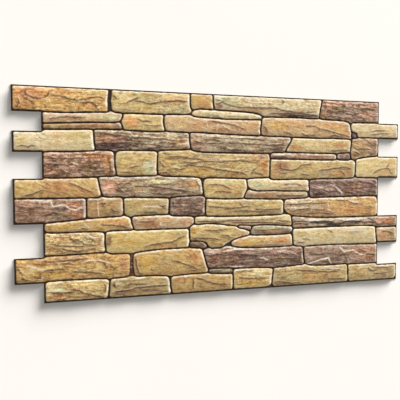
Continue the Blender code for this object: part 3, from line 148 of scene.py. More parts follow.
# stone: base colour, then areas as (colour, x, y, half width, half height, strength)
PAINT = {
    "a1": ("ochre", [("rust", 38, 463, 42, 15, .8), ("orange", 22, 440, 24, 14, .7), ("orange", 100, 468, 45, 8, .45),
                   ("ochre", 95, 440, 34, 12, .75), ("khaki", 165, 470, 40, 7, .85), ("khaki", 125, 451, 26, 8, .6),
                   ("brown", 182, 448, 16, 8, .4), ("orange", 165, 441, 19, 6, .6), ("khaki", 135, 432, 22, 5, .4)]),
    "a2": ("sand", [("yellow", 300, 442, 75, 10, .6), ("olive", 285, 468, 45, 7, .45), ("tan", 362, 462, 26, 8, .6),
                     ("palegreen", 372, 437, 18, 8, .75), ("yellow", 225, 456, 14, 12, .5), ("brown", 352, 458, 42, 2.5, .5),
                     ("olive", 300, 452, 14, 5, .4),
                    ("cream", 338, 440, 24, 7, .8)]),
    "a3": ("ochre", [("orange", 430, 455, 18, 9, .75), ("gold", 411, 466, 14, 7, .6), ("rust", 425, 452, 16, 4, .3)]),
    "a4": ("cream", [("palegreen", 492, 463, 32, 12, .95), ("cream", 468, 471, 12, 4, .6), ("salmon", 470, 451, 12, 6, .75),
                     ("yellow", 560, 465, 46, 4, .7), ("tan", 560, 446, 46, 5, .45), ("palegreen", 640, 472, 40, 4, .5),
                     ("salmon", 635, 443, 30, 3.5, .7), ("redbrown", 668, 441, 26, 3, .6), ("purple", 700, 435, 42, 3, .85),
                     ("palegrey", 716, 437.5, 22, 1.6, .7), ("dark", 668, 434.5, 34, 2.4, .9), ("sand", 612, 455, 26, 2.5, .5),
                    ("sand", 544, 441, 24, 6, .65)]),
    "a5": ("rosegrey", [("salmon", 772, 466, 28, 10, .6), ("peach", 784, 474, 34, 3, .4), ("mauve", 850, 466, 44, 7, .45), ("purple", 815, 450, 26, 6, .5), ("tan", 752, 446, 8, 15, .55), ("greyolive", 798, 458, 22, 8, .65),
                     ("purple", 785, 434, 20, 2.5, .4), ("salmon", 884, 442, 24, 10, .5), ("redbrown", 895, 470, 22, 7, .4),
                     ("greyolive", 872, 458, 25, 5, .6), ("palegrey", 815, 445, 15, 5, .5), ("purple", 846, 440, 12, 8, .4),
                     ("salmon", 800, 473, 35, 3, .4), ("purple", 832, 458, 14, 5, .45), ("brown", 900, 458, 14, 4, .5)]),
    "b1": ("cream", [("palegreen", 447, 430, 20, 5, .8), ("tan", 424, 433, 10, 4, .5), ("palegreen", 520, 430, 30, 4, .5),
                     ("white", 568, 429, 8, 4, .8), ("greyolive", 464, 425, 5, 3, .5)]),
    "b2": ("buff", [("pink", 78, 412, 10, 8, .6), ("orange", 125, 413, 42, 3.5, .5), ("palegreen", 208, 415, 22, 8, .95),
                   ("cream", 165, 419, 30, 4, .6), ("pink", 122, 404.5, 26, 2.2, .8), ("sand", 165, 411, 20, 5, .5)]),
    "b3": ("tan", [("sand", 90, 393, 20, 3, .5), ("rust", 172, 396, 30, 4, .6), ("brown", 145, 394, 20, 3, .35),
                   ("mauvetan", 232, 396, 26, 5, .7)]),
    "b4": ("khaki", [("orange", 257, 409, 18, 12, 1), ("khaki", 312, 412, 18, 9, .7), ("khaki", 302, 394, 22, 5, .7),
                     ("orange", 260, 395, 16, 4, .5), ("tan", 312, 399, 16, 3, .5),
                    ("olive", 318, 416, 18, 6, .6)]),
    "b5": ("buff", [("khaki", 375, 412, 22, 8, .6), ("yellow", 373, 401, 30, 5, .4), ("orange", 420, 400, 18, 12, .6),
                   ("rust", 485, 393, 40, 6, .65), ("rust", 450, 411, 34, 4, .5), ("orange", 512, 398, 34, 5, .5),
                   ("sand", 480, 404, 28, 1.8, .6), ("khaki", 568, 402, 7, 15, .7), ("orange", 552, 404, 18, 9, .5),
                   ("salmon", 545, 390, 14, 4, .5),
                    ("cream", 352, 394, 24, 7, .5)]),
    "b6": ("buff", [("khaki", 600, 416, 16, 6, .5), ("gold", 625, 407, 30, 9, .75), ("orange", 675, 414, 35, 6, .5),
                     ("orange", 772, 412, 36, 8, .75), ("gold", 798, 402, 22, 12, .5), ("orange", 818, 396, 9, 12, .7),
                     ("yellow", 690, 396, 40, 5, .45), ("brown", 590, 394, 9, 10, .55), ("khaki", 750, 393, 30, 5, .6),
                     ("tan", 725, 408, 30, 5, .5), ("brown", 785, 384.5, 26, 2, .5)]),
    "b7": ("cream", [("tan", 905, 408, 28, 6, .45), ("orange", 938, 402, 26, 5, .45), ("khaki", 873, 395, 25, 7, .6),
                     ("yellow", 945, 411, 20, 4, .4), ("pink", 968, 400, 8, 13, .7), ("sand", 858, 409, 14, 8, .4)]),
    "b8": ("dusk", [("mauve", 845, 387, 4, 3, .7)]),
    "c1": ("cream", [("cream", 50, 367, 20, 4, .6), ("yellow", 20, 357, 14, 12, .4), ("khaki", 143, 360, 20, 16, .5),
                    ("tan", 85, 352, 20, 8, .35), ("palegreen", 159, 358, 7, 16, .6), ("cream", 128, 344, 22, 3, .6),
                    ("tan", 110, 372, 24, 5, .3),
                    ("tan", 98, 374, 24, 7, .5), ("khaki", 138, 373, 36, 10, .8), ("cream", 24, 350, 16, 9, .6)]),
    "c2": ("grey", [("redbrown", 206, 366, 38, 12, .55), ("plum", 235, 364, 22, 12, .5), ("purple", 215, 353, 46, 7, .7), ("palegrey", 330, 366, 60, 12, .6), ("salmon", 208, 371, 18, 3.5, .5), ("darkpurple", 222, 355, 38, 4, .6),
                        ("purple", 212, 348, 38, 4.5, .8), ("greyolive", 275, 367, 30, 7, .6), ("palegrey", 282, 377, 22, 3.5, .5),
                        ("greyolive", 268, 357, 24, 3, .7), ("sand", 335, 374, 26, 2.5, .7), ("tan", 365, 362, 24, 7, .6),
                        ("pink", 386, 362, 5, 14, .7), ("grey", 335, 381, 44, 2.5, .7), ("greyolive", 315, 369, 24, 2, .6),
                        ("mauve", 330, 351, 34, 3, .6), ("cream", 300, 354, 18, 1.5, .5), ("plum", 235, 377, 20, 3, .5)]),
    "c3": ("grey", [("palegrey", 540, 370, 90, 4, .5), ("mauvetan", 420, 362, 26, 14, .6), ("purple", 520, 344, 60, 3, .5),
                    ("salmon", 410, 372, 10, 10, .4), ("rust", 408, 358, 8, 5, .5), ("mauvetan", 430, 349, 22, 4, .6),
                    ("greyolive", 450, 372, 32, 5, .65), ("palegrey", 470, 379, 40, 2.5, .5), ("greyolive", 540, 374, 24, 2, .95),
                    ("palegreen", 540, 369, 38, 2.5, .6), ("greyolive", 500, 361, 45, 2, .6), ("tan", 562, 352, 17, 8, .95),
                    ("khaki", 573, 360, 14, 4, .7), ("mauve", 618, 352, 20, 8, .8), ("redbrown", 630, 359, 12, 4, .5),
                    ("mauve", 592, 371, 24, 4, .7), ("mauvetan", 630, 370, 22, 4, .7), ("palegrey", 560, 377, 60, 1.8, .7),
                    ("greyolive", 560, 361, 40, 2, .5),
                    ("palegrey", 562, 352, 24, 8, .7), ("grey", 604, 372, 18, 9, .6), ("rosegrey", 416, 353, 20, 8, .6)]),
    "c4": ("sand", [("orange", 674, 356, 20, 7, .95), ("yellow", 742, 350, 36, 4, .6), ("orange", 800, 363, 26, 7, .9),
                     ("rust", 806, 364, 14, 3.5, .4), ("tan", 768, 358, 22, 6, .5), ("sand", 700, 350, 20, 4, .5),
                     ("greyolive", 800, 347, 22, 1.6, .5),
                    ("cream", 752, 352, 36, 5, .6)]),
    "c5": ("buff", [("pink", 866, 372, 16, 5, .5), ("ochre", 866, 362, 16, 7, .4), ("brown", 862, 374, 24, 3.5, .5), ("brown", 848, 336, 16, 4, .6),
                   ("mauve", 905, 366, 6, 14, .9), ("mauve", 900, 345, 10, 8, .85), ("olive", 872, 342, 12, 4, .6),
                   ("sand", 852, 357, 10, 3, .7), ("sand", 852, 346, 7, 4, .6), ("brown", 888, 367, 10, 6, .5)]),
    "c6": ("mauvetan", [("white", 628, 336, 14, 2.4, .8), ("purple", 630, 330, 24, 2.4, .8), ("redbrown", 722, 332, 34, 3, .5),
                        ("salmon", 682, 333, 24, 3, .5), ("tan", 755, 332, 24, 3, .4), ("palegrey", 778, 334, 9, 3, .6)]),
    "c7": ("plum", [("white", 797, 333, 3.5, 4, .8), ("pink", 815, 334, 8, 2.5, .5), ("purple", 822, 331, 6, 3, .5)]),
    "d1": ("mauvetan", [("redbrown", 90, 322, 20, 5, .5), ("rust", 175, 328, 24, 7, .75), ("orange", 203, 318, 9, 14, .85),
                     ("greyolive", 130, 317, 18, 4, .5), ("brown", 160, 307, 26, 7, .65), ("greyolive", 165, 298, 26, 5, .6),
                     ("purple", 84, 311, 16, 4, .6), ("salmon", 80, 292, 14, 6, .7), ("salmon", 76, 318, 10, 3, .4),
                     ("greyolive", 182, 291, 24, 3, .6), ("tan", 205, 296, 7, 8, .8), ("plum", 130, 290, 25, 5, .4),
                     ("plum", 138, 302, 10, 4, .6), ("mauvetan", 105, 331, 30, 3, .5)]),
    "d2": ("khaki", [("ochre", 245, 300, 18, 12, .6), ("orange", 257, 305, 14, 4, .35), ("palegreen", 297, 303, 13, 22, 1),
                     ("white", 306, 305, 4, 16, .6), ("greyolive", 303, 296, 4, 3, .5), ("olive", 250, 322, 18, 3, .4),
                     ("greyolive", 298, 317, 5, 3, .4)]),
    "d3": ("khaki", [("brown", 358, 323, 24, 6, .6), ("gold", 420, 294, 38, 8, 1), ("gold", 335, 315, 12, 12, .4),
                     ("khaki", 470, 312, 30, 7, .6), ("yellow", 500, 306, 32, 8, .5), ("orange", 585, 305, 12, 26, .9),
                     ("orange", 560, 325, 24, 5, .5), ("grey", 445, 333, 48, 2.5, .9), ("palegrey", 545, 334, 48, 1.6, .8),
                     ("tan", 520, 287, 26, 4, .6), ("orange", 500, 283, 40, 2.5, .5), ("brown", 338, 291, 12, 3, .5),
                     ("mauvetan", 340, 286, 14, 2, .6), ("tan", 430, 322, 60, 4, .5), ("greyolive", 335, 335, 10, 3, .6),
                     ("khaki", 380, 334, 20, 4, .6),
                    ("mauvetan", 584, 331, 16, 10, .75), ("sand", 474, 312, 26, 8, .7), ("ochre", 510, 290, 26, 7, .65), ("olive", 340, 332, 22, 9, .6)]),
    "d4": ("khaki", [("redbrown", 630, 308, 14, 13, .6), ("rust", 632, 305, 22, 14, .8), ("salmon", 650, 308, 12, 5, .5), ("orange", 616, 291, 12, 9, .6),
                     ("yellow", 705, 295, 22, 7, .5), ("tan", 745, 309, 40, 6, .5), ("orange", 793, 288, 28, 8, .9),
                     ("rust", 825, 293, 14, 9, .65), ("khaki", 790, 313, 45, 4, .6), ("brown", 800, 301, 32, 2.5, .5),
                     ("sand", 645, 285, 22, 3.5, .5), ("palegreen", 838, 305, 3.5, 12, .5), ("brown", 690, 313, 12, 3, .3),
                    ("palegrey", 756, 288, 26, 7, .5)]),
    "d5": ("sand", [("yellow", 888, 303, 32, 14, .4), ("khaki", 922, 320, 26, 5, .5), ("orange", 952, 300, 18, 9, .5),
                    ("orange", 932, 291, 24, 5, .45), ("cream", 858, 300, 3.5, 18, .5), ("tan", 952, 321, 16, 6, .6),
                    ("khaki", 920, 308, 20, 6, .3)]),
    "e1": ("ochre", [("orange", 95, 260, 30, 12, .8), ("rust", 95, 248, 28, 8, .55), ("orange", 150, 246, 26, 7, .9),
                   ("khaki", 150, 268, 26, 4.5, .9), ("yellow", 28, 257, 18, 11, .6), ("khaki", 28, 241, 16, 4, .6),
                   ("brown", 100, 267, 20, 3, .35), ("olive", 50, 247, 12, 4, .5), ("rust", 68, 258, 6, 5, .5),
                    ("rust", 94, 267, 24, 7, .6)]),
    "e2": ("grey", [("salmon", 206, 257, 26, 17, .95), ("pink", 200, 254, 16, 12, .45), ("tan", 240, 269, 26, 5, .6),
                    ("brown", 227, 251, 9, 8, .65), ("mauve", 255, 246, 16, 6, .6), ("palegreen", 325, 271, 42, 4.5, .75),
                    ("greyolive", 305, 263, 38, 3, .5), ("sand", 262, 262, 18, 1.5, .5), ("tan", 278, 251, 20, 5, .6),
                    ("palegreen", 291, 247, 8, 6, .3), ("mauve", 330, 248, 26, 7, .6), ("tan", 402, 262, 18, 12, .75),
                    ("mauvetan", 375, 262, 24, 8, .6), ("cream", 416, 262, 4, 12, .6), ("plum", 345, 240, 40, 2.5, .5),
                    ("mauve", 240, 269, 24, 8, .5)]),
    "e3": ("khaki", [("palegreen", 498, 267, 28, 4, .8), ("cream", 460, 270, 22, 2.5, .6), ("tan", 470, 256, 20, 6, .5),
                     ("orange", 490, 246, 24, 5, .75), ("orange", 518, 240, 10, 6, .6), ("yellow", 448, 244, 12, 9, .6),
                     ("tan", 512, 257, 22, 4, .6), ("olive", 520, 233, 12, 2.5, .6), ("sand", 470, 234, 26, 3, .5)]),
    "e4": ("cream", [("palegreen", 575, 262, 24, 8, .95), ("yellow", 622, 262, 20, 5, .5), ("orange", 642, 256, 20, 5, .5),
                     ("orange", 680, 264, 18, 2.5, .45), ("tan", 662, 251, 32, 2.5, .7), ("pink", 697, 257, 6, 8, .6)]),
    "e5": ("buff", [("rust", 590, 236, 36, 5, .6), ("brown", 575, 234, 24, 4, .35), ("mauve", 550, 235, 9, 5, .7),
                   ("cream", 675, 236.5, 22, 3, .8), ("palegreen", 698, 235, 5, 4, .7), ("olive", 635, 234, 16, 4, .5)]),
    "e6": ("mauvegrey", [("purple", 765, 264, 30, 5, .8), ("greyolive", 727, 266, 9, 4, .7), ("palegrey", 752, 255, 16, 4, .5),
                    ("pink", 772, 249, 16, 4, .4), ("brown", 850, 258, 42, 7, .45), ("redbrown", 845, 247, 34, 5, .5),
                    ("darkpurple", 735, 237, 15, 4, .85), ("purple", 812, 265, 30, 4, .5), ("mauvetan", 796, 246, 9, 6, .5),
                    ("grey", 820, 235, 20, 2.5, .6), ("purple", 897, 247, 12, 11, .4), ("greyolive", 893, 236, 14, 3, .6)]),
    "f1": ("mauvetan", [("salmon", 28, 226, 24, 3.5, .85), ("redbrown", 42, 214, 28, 8, .55), ("salmon", 122, 221, 20, 7, 1),
                     ("redorange", 134, 214, 12, 5, .6), ("redorange", 134, 198, 18, 10, .95), ("mauvetan", 97, 222, 12, 4, .7),
                     ("purple", 98, 209, 18, 5, .9), ("greyolive", 100, 195, 22, 6, .7), ("brown", 62, 199, 16, 4, .5),
                     ("mauvetan", 20, 190, 16, 7, .5), ("pink", 58, 188, 6, 7, .6), ("pink", 78, 187, 8, 4, .6)]),
    "f2": ("tan", [("tan", 170, 208, 11, 15, .6), ("plum", 170, 227, 18, 2.5, .8), ("ochre", 200, 216, 18, 7, .5),
                     ("tan", 214, 214, 8, 8, .6), ("greyolive", 212, 196, 18, 3, .7), ("palegrey", 229, 210, 3, 16, .8),
                     ("cream", 209, 228, 18, 2.5, .5), ("olive", 192, 205, 14, 5, .5)]),
    "f3": ("khaki", [("ochre", 278, 218, 28, 6, .65), ("yellow", 265, 206, 22, 4, .5), ("tan", 326, 205, 12, 7, .7),
                     ("cream", 255, 195, 12, 3, .5), ("greyolive", 300, 197, 16, 2.5, .6), ("pink", 337, 212, 3.5, 10, .7),
                     ("cream", 332, 222, 8, 3, .6)]),
    "f4": ("plum", [("mauvetan", 382, 215, 10, 8, .5), ("redbrown", 368, 205, 10, 7, .7), ("greyolive", 386, 207, 10, 6, .6),
                    ("greyolive", 375, 228, 26, 3, .6), ("palegreen", 402, 227, 9, 2.5, .6), ("darkpurple", 376, 193, 24, 3, .8),
                    ("palegrey", 390, 197, 14, 1.5, .6), ("brown", 414, 201, 10, 6, .5), ("mauvetan", 420, 212, 8, 9, .6),
                    ("purple", 354, 217, 6, 8, .5)]),
    "f5": ("khaki", [("ochre", 500, 210, 34, 5, .4), ("grey", 545, 216, 18, 4, .6), ("tan", 565, 200, 30, 5, .5),
                     ("yellow", 600, 211, 24, 3, .4), ("brown", 600, 198.5, 22, 2, .4), ("mauve", 602, 191, 26, 3, .5),
                     ("tan", 480, 194, 34, 3.5, .5), ("olive", 470, 211, 20, 4, .3),
                    ("khaki", 518, 195, 22, 7, .6)]),
    "f6": ("tan", [("palegrey", 690, 204, 62, 17, .7), ("white", 690, 217.5, 42, 2.6, .9), ("white", 680, 203, 30, 2.4, .8),
                   ("brown", 690, 210, 50, 1.8, .7), ("white", 715, 198, 26, 1.6, .7), ("brown", 690, 199, 40, 1.3, .6),
                   ("mauve", 740, 192, 34, 5, .6), ("brown", 700, 187, 30, 2, .6), ("white", 812, 223, 30, 2, .6),
                   ("brown", 724, 193, 28, 4, .55), ("pink", 757, 206, 12, 5, .6), ("redbrown", 755, 190, 18, 4, .75),
                   ("salmon", 780, 189, 12, 2.5, .6), ("orange", 830, 193, 42, 8, 1), ("orange", 870, 190, 28, 10, .8),
                   ("khaki", 870, 217, 38, 4, .7), ("ochre", 800, 206, 34, 5, .7), ("khaki", 800, 219, 24, 2.5, .7),
                   ("yellow", 892, 206, 14, 6, .5), ("sand", 765, 178.5, 26, 1.5, .6), ("greyolive", 738, 217, 22, 2, .6),
                   ("brown", 664, 191, 12, 4, .6), ("olive", 882, 200, 20, 8, .3)]),
    "g1": ("grey", [("palegrey", 700, 169, 40, 3, .7), ("dark", 752, 163, 34, 3.2, .95), ("dark", 788, 157, 26, 2.8, .95),
                    ("white", 775, 169, 60, 2.2, .95), ("dark", 840, 162, 30, 2.6, .95), ("white", 850, 168, 34, 2.2, .95),
                    ("white", 735, 155.5, 34, 2, .8), ("white", 868, 154, 30, 1.8, .8), ("mauvetan", 690, 170, 20, 2, .8),
                    ("brown", 690, 165.5, 24, 1.4, .7), ("pink", 684, 157, 18, 3, .8),
                    ("white", 730, 169, 28, 1.8, .6), ("dark", 747, 163, 30, 2, .9), ("palegrey", 735, 156, 25, 2, .7),
                    ("dark", 786, 156.5, 20, 2.4, .85), ("palegrey", 798, 166, 16, 2.5, .6), ("dark", 822, 164, 18, 1.5, .6),
                    ("dark", 846, 160.5, 18, 1.4, .85), ("white", 847, 167, 22, 2.2, .7), ("mauve", 822, 158, 18, 2.5, .6),
                    ("cream", 870, 154, 28, 1.5, .8), ("pink", 885, 164, 14, 4, .6), ("mauve", 899, 159, 13, 5, .7),
                    ("salmon", 922, 162, 16, 8, .8), ("redorange", 948, 162, 26, 8, .85), ("orange", 958, 157, 14, 5, .4),
                    ("pink", 936, 171, 26, 1.6, .7),
                    ("pink", 922, 164, 18, 9, .6)]),
    "h1": ("ochre", [("gold", 100, 170, 32, 6, .6), ("khaki", 140, 168, 22, 5, .5), ("orange", 215, 177, 32, 6, .8),
                     ("rust", 236, 171, 14, 4, .6), ("khaki", 180, 166, 24, 3.5, .5), ("palegrey", 228, 162.6, 14, 1.4, .6),
                     ("mauvetan", 128, 161, 22, 1.5, .8), ("brown", 76, 166, 5, 5, .6), ("sand", 153, 173, 9, 2.5, .7)]),
    "h2": ("buff", [("rust", 300, 170, 20, 9, .9), ("rust", 276, 173, 16, 3.5, .6), ("mauve", 264, 178, 3.5, 8, .8),
                     ("redbrown", 302, 180, 12, 2.5, .5), ("tan", 340, 172, 22, 8, .4), ("salmon", 385, 172, 14, 7, .7),
                     ("grey", 335, 161, 32, 1.8, .6), ("tan", 325, 183, 16, 3, .6)]),
    "h3": ("sand", [("palegrey", 436, 177, 22, 2.5, .6), ("greyolive", 436, 173, 24, 1.8, .7), ("khaki", 610, 171, 42, 4, .7),
                   ("mauve", 500, 172, 30, 1.8, .55), ("sand", 560, 175, 60, 2, .6), ("khaki", 650, 166, 8, 4, .5),
                   ("greyolive", 630, 161.5, 16, 1.4, .6), ("mauvetan", 540, 167, 40, 2, .5),
                    ("grey", 464, 170, 22, 10, .6)]),
    "i1": ("khaki", [("mauvetan", 92, 146, 18, 5, .6), ("salmon", 105, 141, 10, 4, .5), ("palegreen", 150, 138, 20, 7, .8),
                     ("sand", 140, 150.5, 22, 2, .7), ("mauve", 155, 126, 12, 2.5, .5), ("brown", 128, 139, 8, 5, .5),
                     ("rust", 166, 116, 14, 4, .5), ("mauvetan", 183, 128, 4, 14, .6), ("mauvetan", 172, 147, 12, 3, .5),
                     ("tan", 110, 112, 34, 3, .5),
                    ("ochre", 84, 120, 24, 8, .6)]),
    "i2": ("yellow", [("gold", 243, 126, 34, 12, 1), ("yellow", 226, 141, 18, 9, .7), ("brown", 204, 134, 6, 14, .95),
                     ("mauvetan", 203, 138, 2, 12, .7), ("orange", 332, 120, 34, 5, .8), ("tan", 352, 140, 24, 5, .5),
                     ("ochre", 300, 130, 30, 8, .5), ("khaki", 380, 130, 8, 14, .6), ("tan", 372, 118, 8, 4, .5),
                     ("sand", 228, 111, 20, 3, .6),
                    ("sand", 216, 119, 22, 8, .6), ("yellow", 256, 119, 26, 8, .7), ("olive", 370, 143, 20, 8, .5)]),
    "i3": ("khaki", [("gold", 405, 149, 10, 9, .7), ("yellow", 425, 157, 22, 2.5, .5), ("olive", 430, 133, 24, 3.5, .6),
                     ("gold", 452, 130, 16, 6, .5), ("yellow", 490, 142, 18, 6, .6), ("tan", 515, 141, 16, 6, .6),
                     ("pink", 531, 140, 7, 3, .8), ("tan", 462, 117, 12, 6, .7), ("mauvetan", 405, 131.5, 7, 2, .8)]),
    "i4": ("redbrown", [("palegrey", 408, 116, 12, 3, .6)]),
    "i5": ("grey", [("palegreen", 592, 151, 32, 2.5, .8), ("tan", 602, 144, 32, 4, .8), ("rust", 612, 141, 22, 2.5, .4),
                    ("palegrey", 560, 144, 7, 4, .8), ("mauvetan", 640, 145, 14, 5, .8), ("greyolive", 572, 152, 14, 2.5, .5),
                    ("brown", 590, 146.5, 30, .9, .5)]),
    "i6": ("pink", []),
    "i7": ("buff", [("gold", 542, 117, 26, 6, .8), ("orange", 514, 121, 8, 4, .9), ("orange", 634, 119.5, 24, 5, 1),
                     ("yellow", 580, 122, 26, 5, .7), ("pink", 511, 113.5, 5, 3, .5), ("brown", 600, 109, 44, 1.2, .4),
                     ("tan", 555, 110.5, 30, 2, .5)]),
    "i8": ("cream", [("khaki", 690, 134, 16, 10, .8), ("khaki", 760, 122, 30, 10, .35), ("yellow", 745, 128, 30, 7, .35),
                    ("khaki", 850, 118, 34, 8, .7), ("palegreen", 852, 108, 26, 3, .9), ("yellow", 898, 130, 9, 9, .6),
                    ("tan", 785, 136, 26, 4, .35), ("greyolive", 690, 112, 14, 1.8, .4), ("tan", 835, 132, 40, 4, .4),
                    ("cream", 862, 114, 24, 7, .7), ("palegrey", 856, 137, 24, 7, .6)]),
    "i9": ("buff", [("redorange", 932, 122, 13, 12, .7), ("palegrey", 962, 134, 12, 4, .6), ("olive", 958, 130, 13, 7, .65), ("brown", 960, 124, 10, 6, .5),
                      ("tan", 946, 112.5, 18, 2.5, .6), ("salmon", 925, 127, 5, 7, .5), ("grey", 971, 118, 3, 8, .5)]),
    "j1": ("ochre", [("rust", 90, 96, 50, 4, .55), ("mauvetan", 120, 99.5, 34, 2.2, .7), ("tan", 60, 88, 50, 5, .45),
                      ("yellow", 30, 68, 18, 9, .75), ("gold", 90, 64, 34, 7, .9), ("salmon", 112, 66, 9, 3, .5),
                      ("khaki", 165, 73, 38, 5, .95), ("ochre", 180, 88, 36, 5, .65), ("rust", 236, 80, 10, 18, .8),
                      ("khaki", 100, 81, 22, 3, .5), ("khaki", 186, 55.5, 24, 3, .7), ("greyolive", 20, 54, 16, 2.5, .6),
                      ("mauvetan", 130, 53.5, 22, 1.8, .6), ("sand", 60, 76, 30, 3, .5), ("palegrey", 222, 54, 12, 1.8, .6),
                      ("gold", 205, 68, 18, 12, .4)]),
    "j2": ("ochre", [("gold", 290, 79, 22, 18, 1), ("yellow", 302, 66, 22, 8, .5), ("tan", 272, 80, 4.5, 18, .6),
                     ("khaki", 338, 86, 24, 11, .65), ("yellow", 372, 65, 24, 9, .6), ("orange", 405, 85, 16, 13, .85),
                     ("rust", 400, 93, 10, 4, .4), ("orange", 385, 54, 22, 2.5, .5), ("khaki", 330, 99, 50, 3, .5),
                     ("tan", 312, 56, 22, 2.5, .5), ("khaki", 424, 60, 4, 8, .5)]),
    "j3": ("plum", [("pink", 470, 98.5, 40, 2.5, .9), ("white", 515, 102, 32, 1.4, .8), ("redbrown", 460, 80, 20, 8, .6),
                    ("brown", 500, 76, 26, 8, .4), ("darkpurple", 545, 80, 24, 8, .4), ("grey", 570, 93, 22, 3, .7),
                    ("mauvetan", 620, 94, 30, 3, .7), ("salmon", 668, 92, 20, 4, .6), ("tan", 625, 79, 18, 2.5, .4),
                    ("greyolive", 638, 66, 28, 5, .6), ("purple", 684, 66, 8, 8, .6), ("mauve", 595, 60, 26, 3, .6),
                    ("pink", 500, 60.5, 20, 1.6, .7), ("mauvetan", 474, 68, 16, 5, .4), ("darkpurple", 655, 75, 30, 2, .5),
                    ("rosegrey", 638, 92, 22, 9, .7)]),
    "j4": ("rosegrey", [("brown", 726, 85, 18, 8, .3), ("greyolive", 768, 80, 18, 6, .5), ("brown", 818, 76.5, 26, 3.5, .9),
                        ("greyolive", 838, 73, 18, 2.5, .7), ("salmon", 872, 80, 40, 17, .8), ("salmon", 862, 90, 28, 6, .8), ("redorange", 862, 85, 16, 3.5, .6),
                        ("peach", 900, 80, 12, 5, .9), ("rust", 892, 63, 18, 5, .8), ("salmon", 862, 66, 14, 5, .7),
                        ("mauvetan", 828, 92, 16, 4, .6), ("greyolive", 752, 60, 18, 5, .6), ("plum", 790, 65, 14, 5, .5),
                        ("mauve", 765, 92, 26, 4, .4),
                    ("mauve", 828, 88, 22, 7, .4)]),
    "j5": ("greyolive", [("palegreen", 486, 49.5, 14, 1.8, .8), ("grey", 455, 50, 8, 3, .5)]),
    "k1": ("khaki", [("yellow", 140, 39.5, 34, 3.5, 1), ("cream", 90, 35.5, 24, 2, .9), ("palegreen", 88, 27.5, 24, 4, 1),
                   ("orange", 90, 13, 26, 5, .7), ("peach", 130, 31, 12, 2, .6), ("orange", 142, 10, 24, 4, .5),
                   ("khaki", 178, 16, 14, 8, .6), ("sand", 192, 28, 4, 10, .5), ("ochre", 160, 25, 16, 3.5, .4),
                   ("brown", 118, 22, 10, 2, .4)]),
    "k2": ("khaki", [("olive", 268, 34, 36, 4, .6), ("mauvetan", 290, 29, 24, 1.8, .6), ("palegrey", 226, 33, 12, 6, .4),
                   ("mauve", 230, 12, 22, 3.5, .7), ("rust", 258, 14, 24, 3, .5), ("mauvetan", 300, 14, 26, 4, .8),
                   ("khaki", 326, 12, 12, 5, .7), ("khaki", 325, 33, 10, 6, .6), ("brown", 215, 31, 3.5, 6, .7)]),
    "k3": ("ochre", [("ochre", 380, 28, 22, 8, .6), ("khaki", 358, 22, 5, 12, .4), ("khaki", 430, 28, 20, 6, .6),
                   ("ochre", 470, 27, 24, 4, .4), ("palegrey", 420, 40.5, 40, 1.4, .6), ("sand", 478, 34, 22, 3, .5),
                   ("gold", 372, 14, 12, 3, .5), ("khaki", 418, 14, 14, 5, .5),
                    ("rust", 374, 33, 16, 8, .7)]),
    "k4": ("khaki", [("grey", 535, 48.4, 26, 1.4, .9), ("cream", 562, 43.5, 40, 2.5, .7), ("palegreen", 565, 37, 22, 3.5, .7),
                     ("ochre", 524, 33, 14, 4, .6), ("tan", 542, 26.5, 20, 2, .7), ("gold", 550, 17, 32, 5, 1),
                     ("orange", 550, 19.5, 10, 2, .5), ("sand", 520, 9, 16, 2, .6), ("pink", 601, 33, 4, 2.5, .7),
                     ("white", 603, 26, 3.5, 3, .9)]),
    "k5": ("khaki", [("palegrey", 626, 36, 8, 7, .5), ("khaki", 652, 33, 28, 8, .7), ("grey", 636, 22, 16, 5, .5),
                   ("palegreen", 664, 23, 16, 5, .4), ("orange", 716, 22, 22, 11, .8), ("brown", 708, 39, 24, 2, .5),
                   ("ochre", 772, 31, 42, 7, .6), ("orange", 762, 18, 30, 5, .6), ("sand", 790, 24.5, 12, 2, .7),
                   ("peach", 772, 44, 20, 1.6, .6), ("palegrey", 800, 8.4, 24, 1.6, .7), ("grey", 645, 9.5, 26, 2.5, .9)]),
    "k6": ("sand", [("tan", 850, 35, 18, 6, .8), ("orange", 870, 32, 10, 5, .3), ("ochre", 855, 18, 22, 8, .6),
                     ("mauve", 906, 27.5, 12, 1.8, .8), ("sand", 932, 36, 26, 2.5, .6), ("tan", 935, 22, 24, 5, .5),
                     ("mauvetan", 930, 12, 24, 3, .6), ("grey", 958, 26, 10, 9, .5),
                    ("khaki", 848, 15, 26, 6, .7)]),
}
